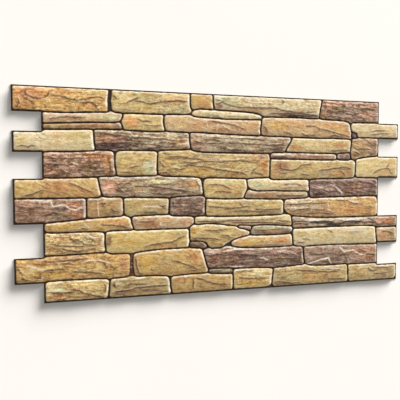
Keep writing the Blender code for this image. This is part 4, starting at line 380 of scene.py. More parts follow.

# Lines on the stones: stone, kind, half width, points.  A crack is cut in and dark, with a
# painted highlight on its left and painted shade on its right; a ledge drops away below or
# beyond the line, and a vein is a pale raised edge; both get a painted highlight on the edge
# and painted shadow where the face drops.
LINES = [
    ("a1", "crack", 1.0, [(30, 472), (30, 460), (45, 453), (62, 450)]),
    ("a1", "crack", .8, [(22, 456), (34, 447), (50, 443)]),
    ("a1", "crack", .8, [(80, 470), (76, 458), (66, 452)]),
    ("a1", "crack", .9, [(80, 460), (110, 458), (118, 453), (140, 451), (165, 457), (185, 461), (198, 456)]),
    ("a1", "crack", 1.1, [(145, 445), (165, 448), (177, 443), (181, 434), (183, 430)]),
    ("a1", "crack", .7, [(13, 452), (17, 440), (11, 432), (16, 429)]),
    ("a1", "crack", .7, [(70, 439), (72, 430)]),
    ("a2", "crack", .8, [(245, 450), (258, 455), (275, 464)]),
    ("a2", "crack", .8, [(268, 454), (282, 454), (300, 449), (325, 455), (360, 458), (366, 461), (390, 457)]),
    ("a2", "crack", .6, [(216, 466), (222, 460), (228, 457)]),
    ("a4", "crack", .9, [(458, 458), (466, 456), (476, 460), (492, 455), (520, 450), (560, 451), (600, 451), (622, 450), (650, 445), (700, 443), (728, 447)]),
    ("a4", "crack", .8, [(458, 466), (468, 466), (474, 463)]),
    ("a4", "vein", .9, [(530, 468), (552, 464), (580, 464), (606, 466)]),
    ("a4", "vein", .8, [(606, 457), (622, 455), (634, 452)]),
    ("a4", "crack", .7, [(634, 474), (640, 467), (633, 461)]),
    ("a4", "crack", .9, [(600, 438), (640, 439), (680, 440), (738, 437)]),
    ("a5", "crack", .8, [(757, 470), (760, 457), (772, 451), (790, 448), (812, 452)]),
    ("a5", "crack", .8, [(762, 437), (790, 437), (812, 433), (826, 431)]),
    ("a5", "crack", .7, [(815, 446), (832, 444), (842, 436), (850, 432)]),
    ("a5", "crack", .7, [(835, 460), (860, 458), (884, 461), (905, 457)]),
    ("a5", "crack", .7, [(862, 440), (872, 434), (866, 428)]),
    ("b1", "crack", .7, [(464, 431), (469, 426), (474, 424)]),
    ("b2", "crack", .7, [(74, 408), (92, 410), (112, 414), (150, 413)]),
    ("b4", "crack", .6, [(270, 414), (284, 409), (306, 409)]),
    ("b4", "crack", .6, [(285, 401), (312, 399), (328, 401)]),
    ("b5", "ledge", .8, [(425, 415), (438, 410), (441, 400), (440, 391)]),
    ("b5", "crack", .8, [(445, 414), (480, 411), (512, 405), (525, 400), (540, 394)]),
    ("b5", "vein", .7, [(458, 405), (480, 404), (500, 396), (520, 391)]),
    ("b5", "vein", .7, [(422, 401), (436, 396), (441, 390)]),
    ("b6", "crack", .8, [(728, 407), (752, 402), (775, 397), (800, 391), (832, 385)]),
    ("b6", "crack", .7, [(582, 408), (590, 402), (596, 391)]),
    ("b6", "crack", .7, [(640, 394), (656, 390), (664, 385)]),
    ("b6", "crack", .7, [(686, 392), (700, 387), (730, 387)]),
    ("b6", "crack", .6, [(700, 408), (716, 411), (732, 409)]),
    ("b6", "crack", .7, [(768, 385), (785, 388), (800, 384)]),
    ("b7", "crack", .6, [(893, 400), (915, 403), (940, 405)]),
    ("b7", "crack", .6, [(890, 391), (920, 395), (950, 396)]),
    ("c1", "crack", .6, [(10, 346), (22, 349), (32, 346), (42, 350), (52, 347)]),
    ("c1", "vein", .7, [(45, 369), (56, 365), (62, 360)]),
    ("c2", "crack", .8, [(180, 356), (205, 357), (235, 359), (262, 357)]),
    ("c2", "crack", .8, [(180, 380), (210, 377), (240, 373), (265, 370), (300, 372)]),
    ("c2", "crack", .7, [(258, 358), (300, 356), (330, 353)]),
    ("c2", "crack", .7, [(315, 369), (335, 370), (352, 366)]),
    ("c2", "crack", .6, [(320, 362), (345, 361), (365, 358)]),
    ("c3", "crack", .7, [(404, 367), (430, 359), (460, 361), (510, 363), (560, 361), (600, 359), (640, 362)]),
    ("c3", "crack", .7, [(430, 369), (455, 370), (475, 366)]),
    ("c3", "crack", .8, [(515, 374), (550, 374), (590, 372)]),
    ("c3", "crack", .6, [(470, 351), (500, 346), (530, 348)]),
    ("c3", "crack", .6, [(590, 352), (612, 350), (640, 353)]),
    ("c4", "crack", .6, [(770, 347), (800, 350), (825, 349)]),
    ("c5", "crack", .8, [(842, 358), (852, 353), (870, 354), (895, 352)]),
    ("c5", "crack", .7, [(880, 378), (890, 370), (900, 364)]),
    ("c5", "crack", .7, [(842, 348), (852, 342), (862, 339)]),
    ("c5", "crack", .7, [(885, 346), (896, 341), (905, 341)]),
    ("d1", "vein", 1.1, [(120, 312), (128, 312), (136, 308), (142, 305)]),
    ("d1", "crack", .7, [(68, 310), (90, 308), (112, 307), (125, 311)]),
    ("d1", "crack", .8, [(138, 302), (160, 307), (175, 302), (186, 303)]),
    ("d1", "crack", .8, [(172, 292), (188, 294), (204, 296)]),
    ("d1", "crack", .6, [(70, 325), (95, 321), (120, 322), (150, 322)]),
    ("d1", "crack", .6, [(100, 296), (112, 289), (124, 286)]),
    ("d1", "crack", .7, [(207, 328), (208, 310), (210, 295)]),
    ("d2", "crack", .7, [(248, 299), (258, 303), (276, 306)]),
    ("d2", "crack", .6, [(232, 291), (250, 291), (270, 288)]),
    ("d3", "crack", .9, [(380, 305), (392, 309), (404, 306), (440, 304), (460, 299), (495, 294), (530, 289), (542, 284)]),
    ("d3", "crack", .8, [(325, 291), (340, 290), (350, 284)]),
    ("d3", "crack", .7, [(345, 327), (372, 329), (390, 325), (430, 321)]),
    ("d3", "crack", .7, [(322, 318), (328, 308), (338, 303)]),
    ("d3", "crack", .7, [(380, 316), (400, 313), (430, 318), (470, 316), (525, 320), (560, 316)]),
    ("d3", "vein", .7, [(440, 325), (480, 322), (520, 324), (550, 325)]),
    ("d3", "crack", .7, [(562, 290), (575, 288), (586, 282)]),
    ("d3", "crack", .6, [(550, 285), (556, 296), (566, 301)]),
    ("d3", "crack", .6, [(352, 301), (372, 299), (385, 301)]),
    ("d4", "crack", .8, [(632, 316), (630, 306), (634, 300), (660, 297), (676, 300), (690, 310), (720, 313)]),
    ("d4", "crack", .8, [(740, 297), (765, 299), (790, 303), (820, 305), (834, 301)]),
    ("d4", "crack", .8, [(798, 297), (808, 293), (814, 286), (816, 281)]),
    ("d4", "crack", .7, [(688, 287), (700, 286), (712, 283)]),
    ("d4", "crack", .6, [(624, 294), (634, 289), (650, 291)]),
    ("d5", "crack", .7, [(900, 288), (912, 296), (930, 302), (950, 302), (957, 292), (964, 286)]),
    ("d5", "crack", .5, [(938, 300), (946, 310), (952, 318)]),
    ("e1", "crack", .8, [(112, 267), (130, 263), (143, 257), (160, 249), (172, 246)]),
    ("e1", "crack", .7, [(24, 240), (38, 242), (52, 249), (66, 251)]),
    ("e1", "crack", .6, [(70, 268), (76, 262)]),
    ("e1", "crack", .6, [(60, 261), (72, 255)]),
    ("e2", "crack", .9, [(262, 259), (300, 259), (318, 256), (345, 253), (380, 247), (412, 241)]),
    ("e2", "crack", .8, [(222, 262), (230, 252), (240, 243), (250, 241)]),
    ("e2", "crack", .7, [(218, 265), (240, 264), (256, 267)]),
    ("e2", "crack", .6, [(410, 272), (416, 262), (419, 252)]),
    ("e2", "crack", .6, [(300, 243), (330, 240), (360, 241)]),
    ("e3", "crack", .7, [(440, 262), (462, 262), (482, 259), (498, 250)]),
    ("e3", "crack", .6, [(455, 243), (475, 246), (500, 242)]),
    ("e4", "crack", .6, [(640, 262), (668, 262), (692, 258)]),
    ("e4", "vein", .7, [(630, 253), (650, 257), (680, 257)]),
    ("e5", "crack", .5, [(620, 234), (660, 233), (698, 232)]),
    ("e6", "crack", .9, [(720, 251), (738, 246), (750, 241), (765, 234)]),
    ("e6", "vein", 1.1, [(770, 262), (785, 258), (796, 248), (806, 240), (812, 234)]),
    ("e6", "crack", .8, [(745, 270), (766, 266), (782, 260)]),
    ("e6", "crack", .7, [(830, 266), (860, 267), (895, 263), (908, 259)]),
    ("e6", "crack", .7, [(815, 252), (845, 250), (880, 253)]),
    ("e6", "crack", .7, [(815, 241), (838, 238), (850, 234)]),
    ("f1", "vein", 1.2, [(40, 228.3), (60, 226.5), (78, 226), (83, 215), (95, 217), (107, 218), (118, 210), (131, 206), (140, 211), (149, 211)]),
    ("f1", "crack", .9, [(84, 225), (90, 221)]),
    ("f1", "crack", .8, [(55, 192), (68, 196), (82, 201), (95, 200)]),
    ("f1", "crack", .7, [(10, 216), (30, 212), (50, 214), (70, 210)]),
    ("f1", "crack", .7, [(106, 212), (114, 208)]),
    ("f2", "vein", .7, [(180, 229), (180, 215), (181, 200), (182, 191)]),
    ("f2", "crack", .7, [(185, 222), (196, 220), (192, 215), (198, 212)]),
    ("f2", "crack", .7, [(208, 210), (213, 203), (226, 201)]),
    ("f3", "vein", 1.0, [(280, 211), (300, 212), (325, 209)]),
    ("f3", "crack", .8, [(300, 199), (312, 197), (322, 194)]),
    ("f3", "crack", .5, [(318, 213), (330, 211), (338, 212)]),
    ("f4", "crack", .8, [(352, 226), (357, 219), (353, 210)]),
    ("f4", "crack", .7, [(396, 212), (404, 206), (410, 204)]),
    ("f4", "crack", .8, [(380, 203), (384, 198), (396, 196)]),
    ("f4", "crack", .8, [(420, 205), (424, 196), (422, 191)]),
    ("f5", "crack", .9, [(521, 218), (528, 210), (535, 207), (550, 207)]),
    ("f5", "crack", .6, [(440, 210), (470, 206), (500, 204), (530, 205)]),
    ("f5", "crack", .6, [(560, 200), (590, 199), (632, 199)]),
    ("f5", "crack", .6, [(505, 196), (540, 197), (570, 193), (600, 196)]),
    ("f6", "crack", .8, [(648, 211), (670, 210), (700, 212), (735, 212), (765, 213)]),
    ("f6", "ledge", .9, [(765, 214), (768, 204), (766, 194), (778, 191), (790, 187)]),
    ("f6", "vein", 1.0, [(826, 221), (834, 216), (846, 213), (862, 212)]),
    ("f6", "crack", .8, [(828, 216), (846, 209), (862, 208)]),
    ("f6", "crack", .7, [(652, 199), (664, 193), (690, 197), (715, 199)]),
    ("f6", "crack", .7, [(700, 186), (740, 187), (785, 184)]),
    ("f6", "crack", .6, [(790, 219), (815, 217), (828, 219)]),
    ("f6", "crack", .6, [(890, 204), (902, 196)]),
    ("g1", "crack", .9, [(715, 165), (745, 164), (775, 161), (800, 155), (815, 162), (838, 164), (855, 160), (885, 157)]),
    ("g1", "crack", .8, [(885, 170), (900, 166), (910, 160), (918, 153)]),
    ("g1", "crack", .7, [(670, 166), (690, 166), (712, 165)]),
    ("g1", "crack", .7, [(672, 160), (690, 161), (712, 158)]),
    ("h1", "crack", .8, [(185, 172), (210, 170), (232, 167), (250, 162)]),
    ("h1", "crack", .7, [(142, 166), (150, 163), (158, 161)]),
    ("h1", "vein", .8, [(147, 174), (155, 172), (160, 167), (157, 163)]),
    ("h2", "crack", .6, [(270, 177), (290, 175), (312, 178)]),
    ("h2", "vein", .8, [(322, 176), (325, 168), (332, 163)]),
    ("h3", "crack", .7, [(412, 173), (440, 173), (470, 172), (500, 174), (560, 173), (600, 172)]),
    ("h3", "crack", .7, [(500, 168), (540, 168), (600, 166), (630, 163), (652, 162)]),
    ("h3", "crack", .5, [(620, 171), (640, 168), (655, 167)]),
    ("i1", "crack", .9, [(118, 150), (120, 142), (128, 137), (138, 138), (150, 128), (165, 125), (175, 124)]),
    ("i1", "vein", .9, [(145, 151), (156, 149), (168, 143), (186, 142)]),
    ("i1", "crack", .7, [(140, 146), (160, 141), (172, 137)]),
    ("i1", "crack", .7, [(72, 133), (95, 127), (120, 126), (150, 122)]),
    ("i1", "crack", .6, [(80, 122), (110, 118), (135, 113), (160, 117)]),
    ("i2", "crack", .7, [(284, 117), (300, 121), (330, 125), (355, 127), (370, 136), (384, 140)]),
    ("i2", "crack", .8, [(361, 122), (363, 113)]),
    ("i2", "vein", .7, [(366, 149), (378, 142)]),
    ("i3", "crack", .7, [(402, 133), (425, 133), (445, 131), (470, 128)]),
    ("i3", "crack", .6, [(430, 152), (460, 150), (490, 153)]),
    ("i3", "crack", .7, [(468, 138), (490, 137), (500, 130)]),
    ("i5", "crack", .7, [(562, 148), (580, 147), (600, 145)]),
    ("i8", "crack", .7, [(765, 142), (774, 139), (782, 134)]),
    ("i8", "crack", .5, [(690, 121), (705, 121), (715, 118)]),
    ("i8", "vein", .6, [(815, 139), (840, 137), (870, 138)]),
    ("i8", "crack", .5, [(680, 113), (700, 113)]),
    ("i9", "crack", .6, [(930, 134), (950, 132), (968, 127)]),
    ("j1", "crack", .9, [(58, 69), (66, 74), (80, 74), (100, 75), (108, 71)]),
    ("j1", "crack", .8, [(122, 70), (135, 66), (155, 65), (175, 62), (190, 60)]),
    ("j1", "crack", .7, [(95, 86), (112, 87), (128, 82)]),
    ("j1", "vein", 1.0, [(22, 85), (38, 82), (54, 76), (66, 77)]),
    ("j1", "crack", .8, [(6, 84), (12, 74), (16, 66)]),
    ("j1", "crack", .9, [(12, 58), (22, 56), (30, 53)]),
    ("j1", "crack", .7, [(54, 68), (55, 57), (40, 58)]),
    ("j1", "vein", .9, [(140, 87), (155, 91), (180, 91), (195, 88), (205, 81)]),
    ("j1", "crack", .7, [(175, 90), (192, 84), (200, 74), (196, 68)]),
    ("j1", "crack", .7, [(60, 93), (90, 92), (130, 95), (160, 96)]),
    ("j1", "crack", .6, [(205, 78), (215, 70), (225, 74)]),
    ("j2", "crack", .8, [(358, 82), (372, 76), (384, 70), (402, 65), (418, 55)]),
    ("j2", "crack", .8, [(265, 92), (267, 70), (272, 55), (285, 54)]),
    ("j2", "crack", .6, [(300, 64), (308, 59)]),
    ("j2", "crack", .6, [(405, 97), (410, 91)]),
    ("j2", "crack", .7, [(395, 56), (410, 54)]),
    ("j3", "crack", .9, [(436, 90), (448, 87), (462, 93), (478, 88), (500, 88), (520, 89), (545, 86), (575, 82), (600, 82)]),
    ("j3", "vein", 1.0, [(572, 79), (586, 78), (592, 73), (602, 72)]),
    ("j3", "vein", .9, [(500, 60), (515, 59), (532, 59)]),
    ("j3", "crack", .8, [(524, 71), (532, 65), (538, 60)]),
    ("j3", "crack", .7, [(600, 72), (630, 73), (665, 71), (690, 71)]),
    ("j3", "vein", .8, [(625, 92), (640, 92), (650, 94)]),
    ("j3", "vein", .8, [(656, 88), (668, 86), (680, 81)]),
    ("j3", "crack", .7, [(618, 88), (645, 85), (664, 80)]),
    ("j4", "vein", 1.2, [(800, 98), (806, 92), (812, 84), (826, 84), (842, 87), (852, 80), (862, 74), (876, 72)]),
    ("j4", "vein", 1.1, [(706, 56), (722, 58), (745, 65), (768, 69), (774, 58), (779, 52)]),
    ("j4", "crack", .8, [(815, 70), (822, 66), (825, 58), (827, 53)]),
    ("j4", "crack", .9, [(806, 96), (812, 95), (816, 98)]),
    ("j4", "crack", .7, [(880, 72), (895, 73), (912, 70)]),
    ("j4", "crack", .7, [(860, 88), (872, 82), (882, 80)]),
    ("j4", "crack", .6, [(715, 80), (740, 78), (760, 82), (790, 79)]),
    ("k1", "crack", .9, [(122, 28), (136, 24), (145, 18), (160, 14), (170, 9), (190, 7)]),
    ("k1", "crack", .7, [(70, 24), (90, 22), (110, 21), (122, 24)]),
    ("k1", "crack", .6, [(85, 7), (98, 6), (110, 8)]),
    ("k1", "crack", .7, [(192, 38), (196, 28), (193, 14)]),
    ("k2", "crack", 1.1, [(212, 14), (225, 16), (248, 17), (265, 22), (290, 22.5), (318, 23.5), (339, 23)]),
    ("k2", "crack", .7, [(216, 40), (214, 32), (218, 25)]),
    ("k2", "crack", .5, [(240, 30), (262, 32), (290, 29)]),
    ("k3", "crack", .8, [(403, 37), (404, 26), (402, 14), (406, 10)]),
    ("k3", "crack", .8, [(408, 36), (422, 34), (432, 29), (444, 24), (460, 19), (490, 16)]),
    ("k4", "crack", .8, [(518, 34), (530, 29), (548, 27), (568, 26), (592, 26)]),
    ("k4", "crack", .6, [(512, 45), (530, 46), (560, 45.5)]),
    ("k5", "crack", 1.3, [(616, 14), (630, 14), (650, 10), (668, 8), (690, 7)]),
    ("k5", "crack", .8, [(678, 42), (700, 38), (730, 36), (770, 31), (800, 33)]),
    ("k5", "crack", .6, [(768, 13), (795, 12.5), (820, 11)]),
    ("k5", "vein", .8, [(745, 43), (775, 41), (800, 38), (820, 34)]),
    ("k6", "crack", .9, [(890, 38), (894, 31), (902, 27), (914, 26)]),
    ("k6", "crack", .6, [(900, 36), (930, 36), (955, 33)]),
    ("k6", "crack", .6, [(905, 20), (930, 18), (952, 20)]),
]

# How broken the surface is, and how far its bedding tilts, in degrees.
BROKEN = {"a5": 1.7, "d1": 1.7, "f1": 1.5, "f4": 1.7, "e6": 1.2, "j3": 1.3, "j4": 1.3, "i1": 1.6, "c2": 1.3, "c3": 1.2,
          "c5": 1.3, "j1": 1.3, "f6": 1.0, "d3": 1.2, "e2": 1.2, "a1": 1.3, "i8": .5, "c1": .55, "d5": .6, "i2": .5,
          "a3": .45, "i7": .45, "b7": .8, "e4": .6, "b8": .5, "j2": .7, "c4": .7}
TILT = {"b5": -8, "b6": -6, "e1": -18, "e6": -16, "j2": -10, "h1": 4, "c5": -14, "a5": -6, "j1": -4, "d4": 4,
        "f6": -2, "i3": -6, "k1": -6, "k3": -8, "c1": -4, "d5": 8}
# How strong each stone's painted rim highlight is.
RIM_HIGHLIGHT_LEVEL = {"j1": .25, "a5": .45, "e6": .5, "f1": .7, "d1": .7, "f4": .6, "c2": .7, "c3": .7, "j3": .9, "j4": .7,
             "d3": .5, "k5": .8, "b8": .1, "c7": .5, "i6": .3, "i4": .4, "c5": .5, "g1": .6, "e5": .5, "b3": .4,
             "h3": .9, "j5": .5, "c1": 1.1, "a2": 1.1, "d4": 1.1, "i2": 1.1, "i8": 1.1, "e4": 1.1, "f6": 1.1}
# How strongly thin dark and pale beds stripe a stone.
BANDS = {"c2": 0.8, "c3": 0.9, "g1": 0.9, "h3": 0.8, "f6": 0.7, "e2": 0.4, "b3": 0.4, "e5": 0.5, "c6": 0.5, "j3": 0.3,
         "i5": 0.5, "e6": 0.4, "f5": 0.4, "k2": 0.5, "a4": 0.2, "b2": 0.4, "k5": 0.4, "k1": 0.3}
# How light a stone's print is beside its neighbours'.
LEVEL = {"a1": 1.19, "a2": 1.03, "a3": .96, "a5": 1.15, "b1": 1.03, "b2": 1.04, "b3": .93, "b4": 1.11, "b5": 1.05, "b6": 1.03,
         "b8": 1.08, "c2": 1.15, "c3": 1.14, "c4": .99, "d1": 1.18, "d2": 1.04, "d3": 1.07, "d5": 1.03, "e2": 1.13,
         "e3": 1.04, "e5": .91, "e6": 1.13, "f1": 1.03, "f2": .93, "f3": .93, "f6": 1.06, "i1": 1.17, "i4": .7, "i5": .9,
         "i9": 1.02, "j1": 1.06, "j2": .96, "j3": 1.1, "j5": .85, "k2": .92, "k3": .91, "k5": .96,
         "a4": .97, "i2": .95, "i6": .9, "j4": .98, "k4": 1.07, "k1": 1.04, "i8": .97, "f4": 1.04, "c1": 1.02, "k6": .93}
# How far a stone's print strays from its base colour.
CONTRAST = {"c2": 1.3, "g1": 1.5, "a2": 1.2, "b3": 1.4, "c6": 1.3, "i7": 1.4, "j2": 1.25, "j3": 1.25, "k1": 1.4, "k2": 1.25,
            "k4": 1.3, "a5": 1.25, "d1": 1.25, "e6": 1.3, "a4": 1.2, "a1": 1.05, "c3": 1.1, "e2": 1.1, "i5": 1.25,
            "k5": 1.05, "k6": 1.1, "j4": 1.1, "f6": .95, "i3": 1.1, "b7": .7, "b2": .85, "d5": .8}

# ---------------------------------------------------------------- noise and small maths

def smooth(t):
    t = np.clip(t, 0.0, 1.0)
    return t * t * (3.0 - 2.0 * t)


class Noise:
    """Seeded gradient noise in two directions, about -1 to 1."""

    def __init__(self, seed):
        rng = np.random.default_rng(seed)
        self.table = rng.permutation(1024)
        angle = rng.uniform(0.0, 2.0 * math.pi, 1024)
        self.slope = np.stack([np.cos(angle), np.sin(angle)], 1)

    def __call__(self, x, y):
        i, j = np.floor(x).astype(int), np.floor(y).astype(int)
        u, v = x - i, y - j

        def corner(a, b):
            g = self.slope[self.table[(self.table[(i + a) & 1023] + j + b) & 1023]]
            return g[:, 0] * (u - a) + g[:, 1] * (v - b)

        fu = u * u * u * (u * (6 * u - 15) + 10)
        fv = v * v * v * (v * (6 * v - 15) + 10)
        low = corner(0, 0) * (1 - fu) + corner(1, 0) * fu
        high = corner(0, 1) * (1 - fu) + corner(1, 1) * fu
        return 1.5 * (low * (1 - fv) + high * fv)


def fractal(noise, x, y, octaves, gain=0.5):
    total, weight, size = 0.0, 1.0, 0.0
    for k in range(octaves):
        total = total + weight * noise(x * 2.03 ** k + 17.3 * k, y * 2.03 ** k - 9.1 * k)
        size += weight
        weight *= gain
    return total / size


WARP_X, WARP_Y, EDGE_WAVE = Noise(11), Noise(12), Noise(13)
SWELL, SHELF, CHIP, STREAK, TONE, RIM_HIGHLIGHT_BREAK = Noise(21), Noise(22), Noise(23), Noise(24), Noise(25), Noise(26)
LINE_X, LINE_Y, MORTAR, STRATA = Noise(31), Noise(32), Noise(33), Noise(34)


def area(ring):
    x, y = ring[:, 0], ring[:, 1]
    return 0.5 * np.sum(x * np.roll(y, -1) - np.roll(x, -1) * y)


def anticlockwise(points):
    ring = np.array(points, float)
    return ring if area(ring) > 0 else ring[::-1].copy()


def near(points, ring):
    """Distance from each point to a closed ring, and that edge's outward direction."""
    a = ring
    ab = np.roll(ring, -1, 0) - a
    length = np.maximum((ab ** 2).sum(1), 1e-12)
    out = np.stack([ab[:, 1], -ab[:, 0]], 1) / np.sqrt(length)[:, None]
    dist, normal = np.empty(len(points)), np.empty((len(points), 2))
    for s in range(0, len(points), 4000):
        p = points[s:s + 4000, None, :] - a[None]
        t = np.clip((p * ab).sum(-1) / length, 0, 1)
        d2 = ((p - t[..., None] * ab) ** 2).sum(-1)
        k = d2.argmin(1)
        dist[s:s + 4000] = np.sqrt(d2[np.arange(len(k)), k])
        normal[s:s + 4000] = out[k]
    return dist, normal


def inside(points, ring):
    a, b = ring, np.roll(ring, -1, 0)
    result = np.zeros(len(points), bool)
    for s in range(0, len(points), 8000):
        x, y = points[s:s + 8000, 0, None], points[s:s + 8000, 1, None]
        crosses = (a[:, 1] > y) != (b[:, 1] > y)
        with np.errstate(divide="ignore", invalid="ignore"):
            at = (b[:, 0] - a[:, 0]) * (y - a[:, 1]) / (b[:, 1] - a[:, 1]) + a[:, 0]
        result[s:s + 8000] = (np.sum(crosses & (x < at), 1) % 2) == 1
    return result


def along(points, spacing, closed=True):
    """Points at an even spacing along a line."""
    ring = np.vstack([points, points[:1]]) if closed else np.asarray(points, float)
    step = np.hypot(*np.diff(ring, axis=0).T)
    at = np.concatenate([[0], np.cumsum(step)])
    count = max(3 if closed else 2, int(round(at[-1] / spacing)))
    want = np.linspace(0, at[-1], count, endpoint=False) if closed else np.linspace(0, at[-1], count + 1)
    return np.stack([np.interp(want, at, ring[:, 0]), np.interp(want, at, ring[:, 1])], 1)


def rounded(points, radius):
    """Round off every corner of a closed ring."""
    result = []
    n = len(points)
    for i in range(n):
        c, before, after = points[i], points[i - 1], points[(i + 1) % n]
        l0, l1 = np.hypot(*(before - c)), np.hypot(*(after - c))
        p0 = c + (before - c) / l0 * min(radius, 0.46 * l0)
        p1 = c + (after - c) / l1 * min(radius, 0.46 * l1)
        for t in (0.0, 0.25, 0.5, 0.75, 1.0):
            result.append((1 - t) ** 2 * p0 + 2 * t * (1 - t) * c + t * t * p1)
    return np.array(result)


def ring_normals(ring):
    d = np.roll(ring, -1, 0) - np.roll(ring, 1, 0)
    d /= np.maximum(np.hypot(*d.T), 1e-9)[:, None]
    return np.stack([d[:, 1], -d[:, 0]], 1)


def end_outline():
    """The sheet's outline, clockwise from the upper left corner."""
    g = FIT_GAP
    left, right = 0.0, LENGTH
    points = [(left, HEIGHT), (right - TAB, HEIGHT)]
    tab_here = False
    for level in STEPS:
        if tab_here:
            points += [(right, level + g), (right - TAB, level + g)]
        else:
            points += [(right - TAB, level - g), (right, level - g)]
        tab_here = not tab_here
    points += [(right, 0.0), (left + TAB, 0.0)]
    recess_here = True
    for level in reversed(STEPS):
        if recess_here:
            points += [(left + TAB, level + g), (left, level + g)]
        else:
            points += [(left, level - g), (left + TAB, level - g)]
        recess_here = not recess_here
    return points


# ---------------------------------------------------------------- the stones' relief

OUTLINE = anticlockwise(end_outline())
NAMES = list(STONES)
EDGE = 2.3          # width of a stone's rounded edge
JOINT_WIDTH = 2.3   # usual width of a joint between two printed faces
MARGIN = 2.9        # usual width of the dark margin round the sheet

# Sides where the joint is wider than usual, as (stone, side, width): left, right, top or bottom.
WIDE = {("a1", "right"): 7.0, ("a2", "left"): 7.0}


def squared(points):
    """Pull cut-off corners out towards the point where their sides would meet."""
    n = len(points)
    result = points.copy()
    for i in range(n):
        p0, p1, p2, p3 = points[i - 1], points[i], points[(i + 1) % n], points[(i + 2) % n]
        d0, d1, d2 = p1 - p0, p2 - p1, p3 - p2
        if np.hypot(*d1) > 10 or np.hypot(*d0) < 7 or np.hypot(*d2) < 7:
            continue
        turn = math.degrees(math.atan2(d0[0] * d2[1] - d0[1] * d2[0], d0 @ d2))
        if not 50 < turn < 135:
            continue
        t = ((p2 - p1)[0] * d2[1] - (p2 - p1)[1] * d2[0]) / (d0[0] * d2[1] - d0[1] * d2[0])
        meet = p1 + d0 * t
        result[i] = p1 + 0.72 * (meet - p1)
        result[(i + 1) % n] = p2 + 0.72 * (meet - p2)
    return result


def facing(normals):
    """Which side of its stone each point is on."""
    flat = np.abs(normals[:, 0]) > np.abs(normals[:, 1]) * 1.4
    return np.where(flat, np.where(normals[:, 0] > 0, "right", "left"), np.where(normals[:, 1] > 0, "top", "bottom"))


def joint_shift(name, ring, outlines, limit):
    """How far each point of an outline moves out for the joint to have its width."""
    gap = np.full(len(ring), 99.0)
    lo, hi = ring.min(0) - 10, ring.max(0) + 10
    for other in NAMES:
        line = outlines[other]
        if other == name or np.any(line.max(0) < lo) or np.any(line.min(0) > hi):
            continue
        gap = np.minimum(gap, near(ring, line)[0])
    sides = facing(ring_normals(ring))
    width = np.full(len(ring), JOINT_WIDTH)
    for (stone, side), w in WIDE.items():
        if stone == name:
            width[sides == side] = w
    shift = np.minimum((gap - width) / 2, near(ring, OUTLINE)[0] - MARGIN)
    shift = np.clip(shift, -0.4, limit)
    for _ in range(3):
        shift = 0.5 * shift + 0.25 * (np.roll(shift, 1) + np.roll(shift, -1))
    return shift


def grown(outlines, limit):
    """Every outline moved out towards its neighbours, by the limit at most."""
    result = {}
    for name in NAMES:
        ring = along(outlines[name], 2.2)
        result[name] = ring + ring_normals(ring) * joint_shift(name, ring, outlines, limit)[:, None]
    return result


CORES = {n: rounded(squared(anticlockwise(STONES[n][1])), 2.0 if n not in SLIVERS else 1.3) for n in NAMES}
for step in (3.0, 1.8):
    CORES = grown(CORES, step)


def stone_ring(name, spacing, back_off=0.0, wave=True):
    """A stone's printed outline."""
    ring = along(CORES[name], spacing)
    shift = joint_shift(name, ring, CORES, 0.8)
    if wave:
        x, y = ring.T
        shift = shift + 0.50 * EDGE_WAVE(x / 12.0, y / 12.0) + 0.30 * EDGE_WAVE(x / 5.0 + 40, y / 5.0)
    ring = ring + ring_normals(ring) * (shift - back_off)[:, None]
    for _ in range(2):
        d, out = near(ring, OUTLINE)
        ring = ring - out * np.maximum(0.0, 1.0 + back_off - d)[:, None]
    return ring


def bedding(name, x, y):
    a = math.radians(TILT.get(name, 0.0))
    return x * math.cos(a) + y * math.sin(a), -x * math.sin(a) + y * math.cos(a)


def line_waver(x, y):
    return (1.5 * LINE_X(x / 9.0, y / 9.0) + 0.6 * LINE_X(x / 3.7 + 50, y / 3.7),
            1.3 * LINE_Y(x / 8.0, y / 8.0) + 0.6 * LINE_Y(x / 3.5 + 50, y / 3.5))


def line_field(x, y, points):
    """Distance from a drawn line, the side (right of it is positive) and a fade at its ends."""
    wx, wy = line_waver(x, y)
    p = np.stack([x + wx, y + wy], 1)
    line = np.array(points, float)
    a, ab = line[:-1], np.diff(line, axis=0)
    length = np.hypot(*ab.T)
    start = np.concatenate([[0], np.cumsum(length)[:-1]])
    q = p[:, None, :] - a[None]
    t = np.clip((q * ab).sum(-1) / length ** 2, 0, 1)
    off = q - t[..., None] * ab
    d2 = (off ** 2).sum(-1)
    k = d2.argmin(1)
    r = np.arange(len(k))
    cross = ab[k, 0] * off[r, k, 1] - ab[k, 1] * off[r, k, 0]
    s = start[k] + t[r, k] * length[k]
    ends = 0.25 + 0.75 * smooth(np.minimum(s, length.sum() - s) / 7.0)
    return np.sqrt(d2[r, k]), np.where(cross < 0, 1.0, -1.0), ends


def stone_lines(name):
    return [(kind, width, pts) for n, kind, width, pts in LINES if n == name]


